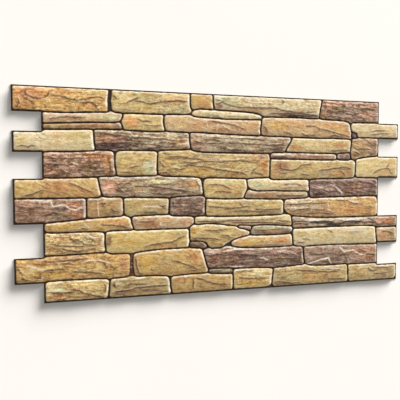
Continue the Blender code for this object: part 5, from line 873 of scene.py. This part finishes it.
def stone_form(name, x, y, d):
    """Height of a stone's face above the foot, with what the print and its painted light and shade need to know of it.
    """
    relief = STONES[name][0]
    rough = BROKEN.get(name, 0.8)
    k = 7.13 * NAMES.index(name)
    u, v = bedding(name, x, y)
    if name in SLIVERS:
        edge_width = 1.9
    else:
        edge_width = EDGE
    edge = np.clip(d / edge_width, 0, 1)
    profile = np.sin(0.5 * math.pi * edge) ** 0.62
    swell = fractal(SWELL, u / 52 + k, v / 17, 3)
    q = 2.7 * fractal(SHELF, u / 58 + k, v / 12, 4) + 0.25 * SWELL(u / 9 + k, v / 5)
    whole = np.floor(q)
    shelf = whole + smooth((q - whole - 0.36) / 0.28) - 0.5
    chip = fractal(CHIP, u / 10 + k, v / 3.6, 3)
    ridge = 1 - 2 * np.abs(STREAK(u / 26 + k + 0.5 * chip, v / 4.2)) 
    bands = BANDS.get(name, 0.0)
    if name == "f6":
        bands = bands * (1 - smooth((x - 752) / 16))
    elif name == "c2":
        bands = bands * (0.45 + 0.55 * smooth((x - 235) / 30))
    strata = fractal(STRATA, u / 46 + k + 0.3 * swell, v / (4.4 - 0.5 * bands) + 0.9 * swell, 3)
    strata = strata * (1 + 1.3 * bands)
    height = 0.3 + relief * (0.86 - 0.07 * rough) + 0.36 * rough * shelf + 0.30 * swell
    # The print's tone: grain from chip, ridge and strata, plus a sawtooth that darkens and jumps pale at each shelf
    # step, painted shade and highlight of the steps.
    tone_and_ledge_shade = 0.50 * chip + 0.25 * ridge + 0.85 * (shelf - q) * (0.5 + 0.5 * rough) + 0.75 * strata * (0.35 + 0.65 * rough)
    height = height + 0.22 * rough * chip + 0.08 * rough * ridge + 0.34 * rough * strata
    dark, pale, shade = np.zeros(len(x)), np.zeros(len(x)), np.zeros(len(x))
    for kind, width, pts in stone_lines(name):
        dist, side, ends = line_field(x, y, pts)
        if kind == "crack":
            c = np.clip(1.35 - dist / (0.8 * width + 0.5), 0, 1) * ends
            height = height - 0.85 * width * c
            dark = np.maximum(dark, c)
            # Painted highlight on a slightly raised lip left of the crack, and painted shade to its right.
            highlight_lip = np.exp(-((dist - 3.1) / 1.4) ** 2) * ends
            pale = np.maximum(pale, 0.30 * highlight_lip * (side < 0))
            height = height + 0.16 * highlight_lip * (side < 0)
            shade = np.maximum(shade, 0.50 * np.exp(-dist / 4.2) * ends * (side > 0))
        else:
            c = np.clip(1.3 - dist / (0.8 * width + 0.7), 0, 1) * ends
            # On a vein the pale along the raised edge is pale print and painted highlight; on a ledge it is painted
            # highlight.
            pale = np.maximum(pale, (0.95 if kind == "vein" else 0.55) * np.minimum(c, 1) * width)
            drop = np.exp(-dist / 6.0) * ends * (side > 0)
            height = height + 0.28 * np.minimum(c, 1) * width - 0.55 * width * drop * (1 - np.minimum(c, 1))
            # Painted shadow on the face below the raised edge, where it drops away.
            shade = np.maximum(shade, 0.85 * width * drop * np.exp(-dist / 5.0) * (dist > 1.2 * width))
    height = np.minimum(height, relief - 0.02)
    return WALL + profile * np.maximum(height, 0.9 if name not in SLIVERS else 0.7), tone_and_ledge_shade, dark, pale, shade


# ---------------------------------------------------------------- the printed colours, with painted light and shade

def linear(colour):
    c = np.asarray(colour, float) / 255.0
    return np.where(c <= 0.04045, c / 12.92, ((c + 0.055) / 1.055) ** 2.4)


def mix(a, b, t):
    t = np.asarray(t)
    return a + (b - a) * (t[:, None] if t.ndim else t)


def stone_print_with_painted_light(name, x, y, d, normal, form):
    _, tone_and_ledge_shade, dark, pale, shade = form
    rough = BROKEN.get(name, 0.8)
    k = 7.13 * NAMES.index(name)
    sway_x = 8.0 * fractal(WARP_X, x / 34, y / 11, 3)
    sway_y = 3.4 * fractal(WARP_Y, x / 26, y / 9, 3)
    base, areas = PAINT[name]
    colour = np.zeros((len(x), 3)) + np.array(PALETTE[base], float)
    for shade_name, ax, ay, rx, ry, strength in areas:
        off_x = x + sway_x * min(1.0, rx / 18) - ax
        off_y = y + sway_y * min(1.0, ry / 8) - ay
        r = np.hypot(off_x / rx, off_y / max(ry, 1.3))
        t = strength * smooth((1.35 - r) / (0.6 if ry < 3 else 0.9))
        colour = mix(colour, np.array(PALETTE[shade_name], float), t)
    u, v = bedding(name, x, y)
    warm = fractal(TONE, u / 22 + k, v / 8, 3)
    colour = mix(colour, colour * (1.06, 0.97, 0.84), np.clip(warm, 0, 1) * 0.9)
    colour = mix(colour, colour * (0.95, 1.00, 1.02), np.clip(-warm, 0, 1) * 0.9)
    # Paler and darker from the tone: grain, and the painted shade and highlight of the shelf steps.
    up = np.clip(tone_and_ledge_shade, 0, 1.2)
    down = np.clip(-tone_and_ledge_shade, 0, 1.2)
    colour = mix(colour, np.array(PALETTE["white"], float), np.clip(up * (0.22 + 0.20 * rough), 0, 0.8))
    colour = mix(colour, colour * (0.58, 0.49, 0.40), np.clip(down * (0.40 + 0.40 * rough), 0, 0.9))
    height = np.ptp(STONES[name][1], axis=0)[1]
    middle = np.mean([p[1] for p in STONES[name][1]])
    # Painted light and shade: each stone's print is up to 9 % lighter towards its top and as much darker towards its
    # bottom.
    colour = colour * (LEVEL.get(name, 1.0) * (1.0 + 0.09 * np.clip((y - middle) / (0.5 * height), -1, 1)))[:, None]
    # Painted shadow beside the lines.
    colour = mix(colour, colour * (0.56, 0.48, 0.42), np.clip(shade, 0, 1))

    middle = np.array(PALETTE[base], float) * LEVEL.get(name, 1.0)
    colour = np.clip(middle + (colour - middle) * CONTRAST.get(name, 1.0), 12, 255)

    top, right = np.clip(normal[:, 1], 0, 1), np.clip(normal[:, 0], 0, 1)
    bottom, left = np.clip(-normal[:, 1], 0, 1), np.clip(-normal[:, 0], 0, 1)
    # Painted shade: the print darkens within a few millimetres of each stone's edge, most on its bottom and left edges.
    low_side = 0.34 * bottom + 0.26 * left + 0.06
    colour = mix(colour, colour * (0.58, 0.48, 0.38), low_side * np.exp(-d / 4.2))
    broken = np.clip(0.72 + 0.75 * RIM_HIGHLIGHT_BREAK(x / 13, y / 13) + 0.35 * RIM_HIGHLIGHT_BREAK(x / 4 + 9, y / 4), 0, 1.25)
    level = RIM_HIGHLIGHT_LEVEL.get(name, 0.9)
    # Painted highlight: pale rims a few millimetres in, strongest on the top and right edges, weak on the left and
    # bottom.
    rim_highlight = level * broken * ((1.0 * top) * np.exp(-((d - 2.1) / 1.8) ** 2)
                            + (1.05 * right) * np.exp(-((d - 2.8) / 2.5) ** 2)
                            + (0.42 * left) * np.exp(-((d - 2.6) / 1.3) ** 2)
                            + (0.22 * bottom) * np.exp(-((d - 2.6) / 1.1) ** 2))
    colour = mix(colour, np.array(RIM_HIGHLIGHT, float), np.clip(rim_highlight, 0, 0.95))
    # Painted highlight along the crack lips and the raised edges of veins and ledges.
    colour = mix(colour, np.array(RIM_HIGHLIGHT, float), np.clip(pale, 0, 0.9))
    colour = mix(colour, np.array(CRACK, float), np.clip(dark * 0.95, 0, 0.9))
    # The dark joint print runs a little up each stone's edge, and further up its bottom and left edges as painted
    # shade.
    joint_and_shade_reach = 0.45 + 0.70 * np.clip(bottom + 0.8 * left, 0, 1) + 0.15 * right
    colour = mix(colour, np.array(JOINT, float), 1 - smooth((d - 0.1) / joint_and_shade_reach))
    return colour


def joint_print(x, y):
    colour = np.zeros((len(x), 3)) + np.array(JOINT, float)
    m = MORTAR(x / 6, y / 6)
    colour = mix(colour, np.array((84, 56, 30), float), np.clip(0.3 + m, 0, 1) * 0.55)
    gap = (x > 244) & (x < 266) & (y > 47) & (y < 106)
    speck = smooth((MORTAR(x / 2.6 + 9, y / 2.6) - 0.35) / 0.3)
    brown = mix(np.zeros((len(x), 3)) + (74, 46, 36), np.array((196, 160, 132), float), 0.75 * speck)
    colour[gap] = brown[gap]
    hole = (x > 476) & (x < 508) & (y > 104) & (y < 130)
    colour = np.where(hole[:, None], mix(colour, np.array((92, 86, 78), float), 0.6 * smooth((118 - y) / 12)), colour)
    tall = (x > 704) & (x < 720) & (y > 228) & (y < 270)
    colour[tall] = (44, 42, 46)
    return colour


# ---------------------------------------------------------------- the sheet's mesh

def triangles(points, ring_edges):
    """Delaunay triangles that keep the given edges, all anticlockwise."""
    verts, _, faces, origin, _, _ = delaunay_2d_cdt(
        [Vector(p) for p in points.tolist()], ring_edges, [], 0, 1e-6, True)
    if len(verts) != len(points):
        raise RuntimeError(f"{len(points)} points gave {len(verts)}")
    back = np.array([o[0] for o in origin])
    tri = back[np.array(faces)]
    a, b, c = points[tri[:, 0]], points[tri[:, 1]], points[tri[:, 2]]
    turn = (b[:, 0] - a[:, 0]) * (c[:, 1] - a[:, 1]) - (b[:, 1] - a[:, 1]) * (c[:, 0] - a[:, 0])
    tri[turn < 0] = tri[turn < 0][:, ::-1]
    return tri[np.abs(turn) > 1e-9]


def loop_edges(start, count):
    return [(start + i, start + (i + 1) % count) for i in range(count)]


def hex_grid(lo, hi, spacing, seed, flatten=1.0):
    rng = np.random.default_rng(seed)
    rows = []
    step = spacing * math.sqrt(3) / 2 * flatten
    for j, y in enumerate(np.arange(lo[1], hi[1] + step, step)):
        x = np.arange(lo[0] - (j % 2) * spacing / 2, hi[0] + spacing, spacing)
        rows.append(np.stack([x, np.full(len(x), y)], 1))
    grid = np.vstack(rows)
    return grid + rng.uniform(-0.17, 0.17, grid.shape) * (spacing, spacing * flatten)


def web_points(rings, spacing, clear, seed):
    """Points on the joints, clear of every stone and of the edge."""
    grid = hex_grid((0, 0), (LENGTH, HEIGHT), spacing, seed)
    keep = inside(grid, OUTLINE)
    grid = grid[keep]
    d, _ = near(grid, OUTLINE)
    grid = grid[d > clear]
    for ring in rings:
        lo, hi = ring.min(0) - clear - 1, ring.max(0) + clear + 1
        box = np.all((grid > lo) & (grid < hi), 1)
        if not box.any():
            continue
        pick = np.where(box)[0]
        d, _ = near(grid[pick], ring)
        bad = inside(grid[pick], ring) | (d < clear)
        grid = np.delete(grid, pick[bad], 0)
    return grid


def web_mesh(outer, rings, extra):
    """Triangles between the outline and the stones: outer points first, then each ring, then the extra ones."""
    points = np.vstack([outer] + rings + [extra])
    owner = np.concatenate([np.full(len(outer), -1)] + [np.full(len(r), i) for i, r in enumerate(rings)]
                           + [np.full(len(extra), -2)])
    edges, at = loop_edges(0, len(outer)), len(outer)
    for r in rings:
        edges += loop_edges(at, len(r))
        at += len(r)
    tri = triangles(points, edges)
    middle = points[tri].mean(1)
    keep = inside(middle, OUTLINE)
    who = owner[tri]
    same = (who[:, 0] == who[:, 1]) & (who[:, 1] == who[:, 2]) & (who[:, 0] >= 0)
    for i, ring in enumerate(rings):
        pick = np.where(same & (who[:, 0] == i))[0]
        if len(pick):
            keep[pick[inside(middle[pick], ring)]] = False
    return points, tri[keep]


SPACING = 2.75
GRAIN_SPACING = 3.4     # along the bedding; closer across it
outer = []
for i in range(len(OUTLINE)):
    a, b = OUTLINE[i], OUTLINE[(i + 1) % len(OUTLINE)]
    n = max(1, int(round(np.hypot(*(b - a)) / 5.0)))
    outer += [a + (b - a) * j / n for j in range(n)]
outer = np.array(outer)

rings = [stone_ring(n, SPACING) for n in NAMES]
grit = web_points(rings, 3.4, 1.25, 3)
flat, web_tri = web_mesh(outer, rings, grit)

height = np.full(len(flat), WALL)
first_grit = len(flat) - len(grit)
height[first_grit:] += 0.12 + 0.12 * MORTAR(grit[:, 0] / 4, grit[:, 1] / 4)
print_colour = joint_print(flat[:, 0], flat[:, 1])
finish = np.zeros((len(flat), 3))
finish[:, 0] = 0.25
finish[:, 1] = 0.0
grain = np.stack([flat[:, 0], flat[:, 1], np.zeros(len(flat))], 1)

all_xy, all_z, all_print_with_painted_light, all_finish, all_grain, faces = [flat], [height], [print_colour], [finish], [grain], [web_tri]
plateaus = []
total = len(flat)
ring_start = np.concatenate([[len(outer)], len(outer) + np.cumsum([len(r) for r in rings])])

for index, name in enumerate(NAMES):
    ring = rings[index]
    normals = ring_normals(ring)
    insets = (0.5, 1.5) if name not in SLIVERS else (0.5, 1.1)
    inner = []
    for distance in insets:
        p = ring - normals * distance
        d, _ = near(p, ring)
        inner.append(p[inside(p, ring) & (d > 0.93 * distance)])
    marks = []
    for kind, width, pts in stone_lines(name):
        line = along(np.array(pts, float), 2.9, closed=False)
        n = ring_normals(np.vstack([line, line[::-1]]))[:len(line)]
        reach = 0.75 * width + 0.5
        for offset in (0.0, -reach, reach, -3.1 if kind == "crack" else -2.6 * reach):
            p = line + n * offset
            wx, wy = line_waver(p[:, 0], p[:, 1])
            marks.append(p - np.stack([wx, wy], 1))
    grid = hex_grid(ring.min(0), ring.max(0), GRAIN_SPACING, 100 + index, 0.62)
    grid = grid[inside(grid, ring)]
    d, _ = near(grid, ring)
    grid = grid[d > insets[-1] + 0.9]
    if marks:
        marks = np.vstack(marks)
        d, _ = near(marks, ring)
        marks = marks[inside(marks, ring) & (d > insets[-1] + 0.5)]
        kept = []
        for p in marks:
            if all((p[0] - q[0]) ** 2 + (p[1] - q[1]) ** 2 > 0.55 for q in kept[-60:]):
                kept.append(p)
        marks = np.array(kept).reshape(-1, 2)
        if len(marks) and len(grid):
            gap = ((grid[:, None, :] - marks[None]) ** 2).sum(-1).min(1)
            grid = grid[gap > 1.7 ** 2]
    else:
        marks = np.zeros((0, 2))
    own = np.vstack(inner + [marks, grid])
    d_own, n_own = near(own, ring)
    points = np.vstack([ring, own])
    tri = triangles(points, loop_edges(0, len(ring)))
    on_ring = np.all(tri < len(ring), 1)
    pick = np.where(on_ring)[0]
    keep = np.ones(len(tri), bool)
    if len(pick):
        keep[pick] = inside(points[tri[pick]].mean(1), ring)
    tri = tri[keep]
    lookup = np.concatenate([np.arange(ring_start[index], ring_start[index] + len(ring)), total + np.arange(len(own))])
    faces.append(lookup[tri])
    x, y = own.T
    form = stone_form(name, x, y, d_own)
    level = d_own > (3.0 if name not in SLIVERS else 1.5)
    plateaus.append((own[level], form[0][level]))
    u, v = bedding(name, x, y)
    all_xy.append(own)
    all_z.append(form[0])
    all_print_with_painted_light.append(stone_print_with_painted_light(name, x, y, d_own, n_own, form))
    rough = BROKEN.get(name, 0.8)
    solid = smooth((d_own - 0.4) / 1.6)
    all_finish.append(np.stack([0.25 + (0.55 + 0.45 * rough - 0.25) * solid, solid, np.full(len(own), rough)], 1))
    all_grain.append(np.stack([u, v, np.full(len(own), 13.7 * index)], 1))
    total += len(own)

front_count = total
front_faces = np.vstack(faces)

# The back: open hollows behind the stones.
back_rings = [stone_ring(n, 7.0, 0.9, wave=False) for n in NAMES]
back_flat, back_tri = web_mesh(outer, back_rings, np.zeros((0, 2)))
back_xy, back_z, back_faces = [back_flat], [np.zeros(len(back_flat))], [back_tri[:, ::-1] + total]
back_total = total + len(back_flat)
back_start = np.concatenate([[len(outer)], len(outer) + np.cumsum([len(r) for r in back_rings])])
for index, name in enumerate(NAMES):
    ring = back_rings[index]
    p = ring - ring_normals(ring) * (1.9 if name not in SLIVERS else 1.1)
    d, _ = near(p, ring)
    inner = p[inside(p, ring) & (d > (1.6 if name not in SLIVERS else 0.9))]
    grid = hex_grid(ring.min(0), ring.max(0), 10.0, 400 + index)
    grid = grid[inside(grid, ring)]
    if len(grid):
        d, _ = near(grid, ring)
        grid = grid[d > 6.5]
    own = np.vstack([inner, grid])
    points = np.vstack([ring, own])
    tri = triangles(points, loop_edges(0, len(ring)))
    pick = np.where(np.all(tri < len(ring), 1))[0]
    keep = np.ones(len(tri), bool)
    if len(pick):
        keep[pick] = inside(points[tri[pick]].mean(1), ring)
    tri = tri[keep]
    lookup = np.concatenate([total + np.arange(back_start[index], back_start[index] + len(ring)),
                             back_total + np.arange(len(own))])
    back_faces.append(lookup[tri][:, ::-1])
    if len(own):
        # Under the lowest part of the face near each point, so that no crack cuts through.
        spots, tops = plateaus[index]
        away = ((own[:, None] - spots[None]) ** 2).sum(-1)
        lowest = np.where(away < 8.5 ** 2, tops[None], 99.0).min(1)
        lowest = np.where(lowest > 90, tops[away.argmin(1)], lowest)
        back_xy.append(own)
        back_z.append(np.maximum(0.02, lowest - 0.5))
    back_total += len(own)

count = len(outer)
i = np.arange(count)
j = (i + 1) % count
band = np.vstack([np.stack([i + total, j + total, j], 1), np.stack([i + total, j, i], 1)])

xy = np.vstack(all_xy + back_xy)
z = np.concatenate(all_z + back_z)
z = np.clip(z, 0.0, 4.4)
verts = np.stack([(xy[:, 0] - LENGTH / 2) * MM, (xy[:, 1] - HEIGHT / 2) * MM, z * MM], 1)
tris = np.vstack([front_faces, band] + back_faces)
back_total_points = len(xy) - front_count

mesh = bpy.data.meshes.new("faux_stone_panel")
mesh.from_pydata(verts.tolist(), [], tris.tolist())
mesh.materials.append(None)
mesh.materials.append(None)
slots = np.zeros(len(tris), np.int32)
slots[len(front_faces) + len(band):] = 1
mesh.polygons.foreach_set("material_index", slots)
mesh.shade_smooth()
mesh.set_sharp_from_angle(angle=math.radians(62))

plain = np.tile(np.array((222, 214, 200), float), (back_total_points, 1))
colours = np.vstack(all_print_with_painted_light + [plain])
colours[front_count:front_count + count] = JOINT
# The print attribute holds the stones' print with its painted highlights and shade.
attribute = mesh.attributes.new("print", "FLOAT_COLOR", "POINT")
attribute.data.foreach_set("color", np.column_stack([linear(np.clip(colours, 0, 255)), np.ones(len(colours))]).astype(np.float32).ravel())
for label, front in (("finish", all_finish), ("grain", all_grain)):
    rest = np.zeros((back_total_points, 3))
    if label == "grain":
        rest[:, :2] = xy[front_count:]
    values = np.vstack(front + [rest])
    attribute = mesh.attributes.new(label, "FLOAT_VECTOR", "POINT")
    attribute.data.foreach_set("vector", values.astype(np.float32).ravel())
mesh.update()
panel = bpy.data.objects.new("faux_stone_panel", mesh)
bpy.context.collection.objects.link(panel)
print("triangles", len(tris), "points", len(verts), "highest mm", z.max())


# ---------------------------------------------------------------- materials

def new_material(name):
    m = bpy.data.materials.new(name)
    m.use_nodes = True
    return m, m.node_tree.nodes, m.node_tree.links


def math_node(nodes, links, kind, a, b=None, clamp=False):
    n = nodes.new("ShaderNodeMath")
    n.operation = kind
    n.use_clamp = clamp
    for socket, value in zip(n.inputs, (a, b)):
        if value is None:
            continue
        if isinstance(value, (int, float)):
            socket.default_value = value
        else:
            links.new(value, socket)
    return n.outputs[0]


def noise_node(nodes, links, vector, scale, detail, rough, stretch=(1, 1, 1)):
    m = nodes.new("ShaderNodeMapping")
    m.vector_type = "TEXTURE"
    m.inputs["Scale"].default_value = stretch
    links.new(vector, m.inputs["Vector"])
    n = nodes.new("ShaderNodeTexNoise")
    n.inputs["Scale"].default_value = scale
    n.inputs["Detail"].default_value = detail
    n.inputs["Roughness"].default_value = rough
    links.new(m.outputs["Vector"], n.inputs["Vector"])
    return n.outputs["Fac"]


def mix_node(nodes, links, factor, a, b, blend="MIX"):
    n = nodes.new("ShaderNodeMix")
    n.data_type = "RGBA"
    n.blend_type = blend
    for socket, value in ((n.inputs[0], factor), (n.inputs[6], a), (n.inputs[7], b)):
        if isinstance(value, (int, float)):
            socket.default_value = value
        elif isinstance(value, tuple):
            socket.default_value = value
        else:
            links.new(value, socket)
    return n.outputs[2]


def shade(colour):
    return tuple(float(c) for c in linear(colour)) + (1.0,)


def span(nodes, links, value, low, high, to_low=0.0, to_high=1.0):
    n = nodes.new("ShaderNodeMapRange")
    n.interpolation_type = "SMOOTHSTEP"
    links.new(value, n.inputs["Value"])
    for key, v in (("From Min", low), ("From Max", high), ("To Min", to_low), ("To Max", to_high)):
        n.inputs[key].default_value = v
    return n.outputs["Result"]


front, nodes, links = new_material("printed_stone_face_with_painted_light")
shader = nodes["Principled BSDF"]
paint = nodes.new("ShaderNodeAttribute")
paint.attribute_name = "print"
where = nodes.new("ShaderNodeAttribute")
where.attribute_name = "grain"
kind = nodes.new("ShaderNodeAttribute")
kind.attribute_name = "finish"
parts = nodes.new("ShaderNodeSeparateXYZ")
links.new(kind.outputs["Vector"], parts.inputs[0])
amount, solid, rough = parts.outputs
v = where.outputs["Vector"]
streak = noise_node(nodes, links, v, 1.0, 4, 0.62, (15.0, 2.6, 1.0))
blotch = noise_node(nodes, links, v, 1.0, 3, 0.6, (5.0, 2.6, 1.0))
fleck = noise_node(nodes, links, v, 1.0, 3, 0.65, (1.7, 1.1, 1.0))
fine = noise_node(nodes, links, v, 1.0, 2, 0.6, (0.45, 0.38, 1.0))

pale = span(nodes, links, streak, 0.50, 0.74)
pale = math_node(nodes, links, "MULTIPLY", pale, amount)
colour = mix_node(nodes, links, math_node(nodes, links, "MULTIPLY", pale, 0.26), paint.outputs["Color"], shade((244, 228, 190)))
deep = span(nodes, links, streak, 0.50, 0.26)
deep = math_node(nodes, links, "MULTIPLY", deep, amount)
colour = mix_node(nodes, links, math_node(nodes, links, "MULTIPLY", deep, 0.36), colour, shade((158, 134, 112)), "MULTIPLY")
spot = span(nodes, links, blotch, 0.46, 0.24)
spot = math_node(nodes, links, "MULTIPLY", spot, rough)
colour = mix_node(nodes, links, math_node(nodes, links, "MULTIPLY", spot, 0.45, True), colour, shade((150, 122, 98)), "MULTIPLY")
glint = span(nodes, links, fleck, 0.56, 0.76)
glint = math_node(nodes, links, "MULTIPLY", glint, amount)
colour = mix_node(nodes, links, math_node(nodes, links, "MULTIPLY", glint, 0.30, True), colour, shade((248, 236, 208)))
pit = span(nodes, links, fleck, 0.44, 0.24)
pit = math_node(nodes, links, "MULTIPLY", pit, amount)
colour = mix_node(nodes, links, math_node(nodes, links, "MULTIPLY", pit, 0.36, True), colour, shade((150, 126, 104)), "MULTIPLY")
# Small ledges: a painted highlight on a pale lip and a painted shadow line beside it, broken off here and there.
level = noise_node(nodes, links, v, 1.0, 2, 0.42, (30.0, 10.0, 1.0))
saw = math_node(nodes, links, "FRACT", math_node(nodes, links, "MULTIPLY", level, 6.0))
broken = noise_node(nodes, links, v, 1.0, 2, 0.5, (21.0, 9.0, 1.0))
broken = math_node(nodes, links, "MULTIPLY", span(nodes, links, broken, 0.42, 0.60), amount)
highlight_lip = math_node(nodes, links, "MULTIPLY", span(nodes, links, saw, 0.66, 0.97), broken)
colour = mix_node(nodes, links, math_node(nodes, links, "MULTIPLY", highlight_lip, 0.8, True), colour, (1.42, 1.40, 1.32, 1.0), "MULTIPLY")
ledge_shadow = math_node(nodes, links, "MULTIPLY", span(nodes, links, saw, 0.30, 0.03), broken)
colour = mix_node(nodes, links, math_node(nodes, links, "MULTIPLY", ledge_shadow, 0.6, True), colour, shade((138, 104, 76)), "MULTIPLY")
links.new(colour, shader.inputs["Base Color"])
matt = span(nodes, links, fleck, 0.3, 0.7, 0.52, 0.68)
links.new(matt, shader.inputs["Roughness"])
shader.inputs["Specular IOR Level"].default_value = 0.2
lift = math_node(nodes, links, "ADD", math_node(nodes, links, "MULTIPLY", fleck, 0.55),
                 math_node(nodes, links, "MULTIPLY", fine, 0.2))
lift = math_node(nodes, links, "ADD", lift, math_node(nodes, links, "MULTIPLY", blotch, 0.6))
lift = math_node(nodes, links, "ADD", lift, math_node(nodes, links, "MULTIPLY", math_node(nodes, links, "MULTIPLY", saw, broken), 0.5))
bump = nodes.new("ShaderNodeBump")
bump.inputs["Strength"].default_value = 0.55
bump.inputs["Distance"].default_value = 0.0006
links.new(lift, bump.inputs["Height"])
links.new(bump.outputs["Normal"], shader.inputs["Normal"])

back, nodes, links = new_material("plain_back_face")
shader = nodes["Principled BSDF"]
where = nodes.new("ShaderNodeAttribute")
where.attribute_name = "grain"
cloud = noise_node(nodes, links, where.outputs["Vector"], 1.0, 3, 0.5, (40.0, 40.0, 1.0))
speck = noise_node(nodes, links, where.outputs["Vector"], 1.0, 2, 0.5, (0.8, 0.8, 1.0))
colour = mix_node(nodes, links, cloud, shade((214, 206, 190)), shade((230, 224, 212)))
links.new(colour, shader.inputs["Base Color"])
links.new(span(nodes, links, speck, 0.3, 0.7, 0.42, 0.56), shader.inputs["Roughness"])
bump = nodes.new("ShaderNodeBump")
bump.inputs["Strength"].default_value = 0.25
bump.inputs["Distance"].default_value = 0.0002
links.new(speck, bump.inputs["Height"])
links.new(bump.outputs["Normal"], shader.inputs["Normal"])
panel.data.materials[0] = front
panel.data.materials[1] = back

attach(panel, "root")
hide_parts("wall_panel")


# ---------------------------------------------------------------- floor, light and camera

def sheet(name, size, z):
    m = bpy.data.meshes.new(name)
    h = size / 2
    m.from_pydata([(-h, -h, z), (h, -h, z), (h, h, z), (-h, h, z)], [], [(0, 1, 2, 3)])
    o = bpy.data.objects.new(name, m)
    bpy.context.collection.objects.link(o)
    return o


floor = sheet("pale_floor", 6.0, -0.0002)
ground, nodes, links = new_material("pale_floor")
shader = nodes["Principled BSDF"]
place = nodes.new("ShaderNodeTexCoord")
tint = nodes.new("ShaderNodeTexNoise")
tint.inputs["Scale"].default_value = 2.0
links.new(place.outputs["Object"], tint.inputs["Vector"])
links.new(mix_node(nodes, links, tint.outputs["Fac"], shade((250, 246, 240)), shade((253, 249, 243))), shader.inputs["Base Color"])
shader.inputs["Roughness"].default_value = 0.9
shader.inputs["Specular IOR Level"].default_value = 0.1
floor.data.materials.append(ground)


def sun(name, direction, strength, angle, colour):
    light = bpy.data.lights.new(name, "SUN")
    light.energy = strength
    light.angle = math.radians(angle)
    light.color = colour
    o = bpy.data.objects.new(name, light)
    o.rotation_euler = Vector(direction).to_track_quat("Z", "Y").to_euler()
    bpy.context.collection.objects.link(o)
    return o


def toward(azimuth, elevation):
    a, e = math.radians(azimuth), math.radians(elevation)
    return (math.cos(a) * math.cos(e), math.sin(a) * math.cos(e), math.sin(e))


# A low side light gives the floor its soft shadow; the panel gets a higher key and a top fill.
on_floor = bpy.data.collections.new("lit_floor")
on_floor.objects.link(floor)
on_panel = bpy.data.collections.new("lit_panel")
on_panel.objects.link(panel)
for number, (azimuth, elevation, strength, angle) in enumerate((
        (36, 5.1, 5.44, 7), (46, 5.1, 5.44, 7), (56, 5.1, 5.44, 7), (66, 5.1, 5.44, 7), (50, 10.3, 2.49, 10))):
    low = sun(f"low_side_{number}", toward(azimuth, elevation), strength, angle, (1.0, 0.99, 0.98))
    low.light_linking.receiver_collection = on_floor
sun("key", toward(52, 32), 3.3, 16, (1.0, 0.985, 0.975)).light_linking.receiver_collection = on_panel
sun("top_fill", toward(90, 72), 0.75, 60, (1.0, 0.99, 0.99)).light_linking.receiver_collection = on_panel
world = bpy.data.worlds.new("studio")
bpy.context.scene.world = world
world.use_nodes = True
sky = world.node_tree.nodes["Background"]
sky.inputs["Color"].default_value = (1.0, 0.99, 0.975, 1.0)
sky.inputs["Strength"].default_value = 0.29

camera_data = bpy.data.cameras.new("camera")
camera_data.lens = 41.84
camera_data.sensor_width = 36.0
camera_data.clip_start = 0.05
camera = bpy.data.objects.new("camera", camera_data)
camera.matrix_world = Matrix((
    (0.96341, 0.01432, -0.26764, -0.36877),
    (-0.00343, 0.99915, 0.04113, 0.03113),
    (0.26800, -0.03871, 0.96264, 1.07960),
    (0.0, 0.0, 0.0, 1.0)))
bpy.context.collection.objects.link(camera)
bpy.context.scene.camera = camera
bpy.context.scene.view_settings.view_transform = "Standard"
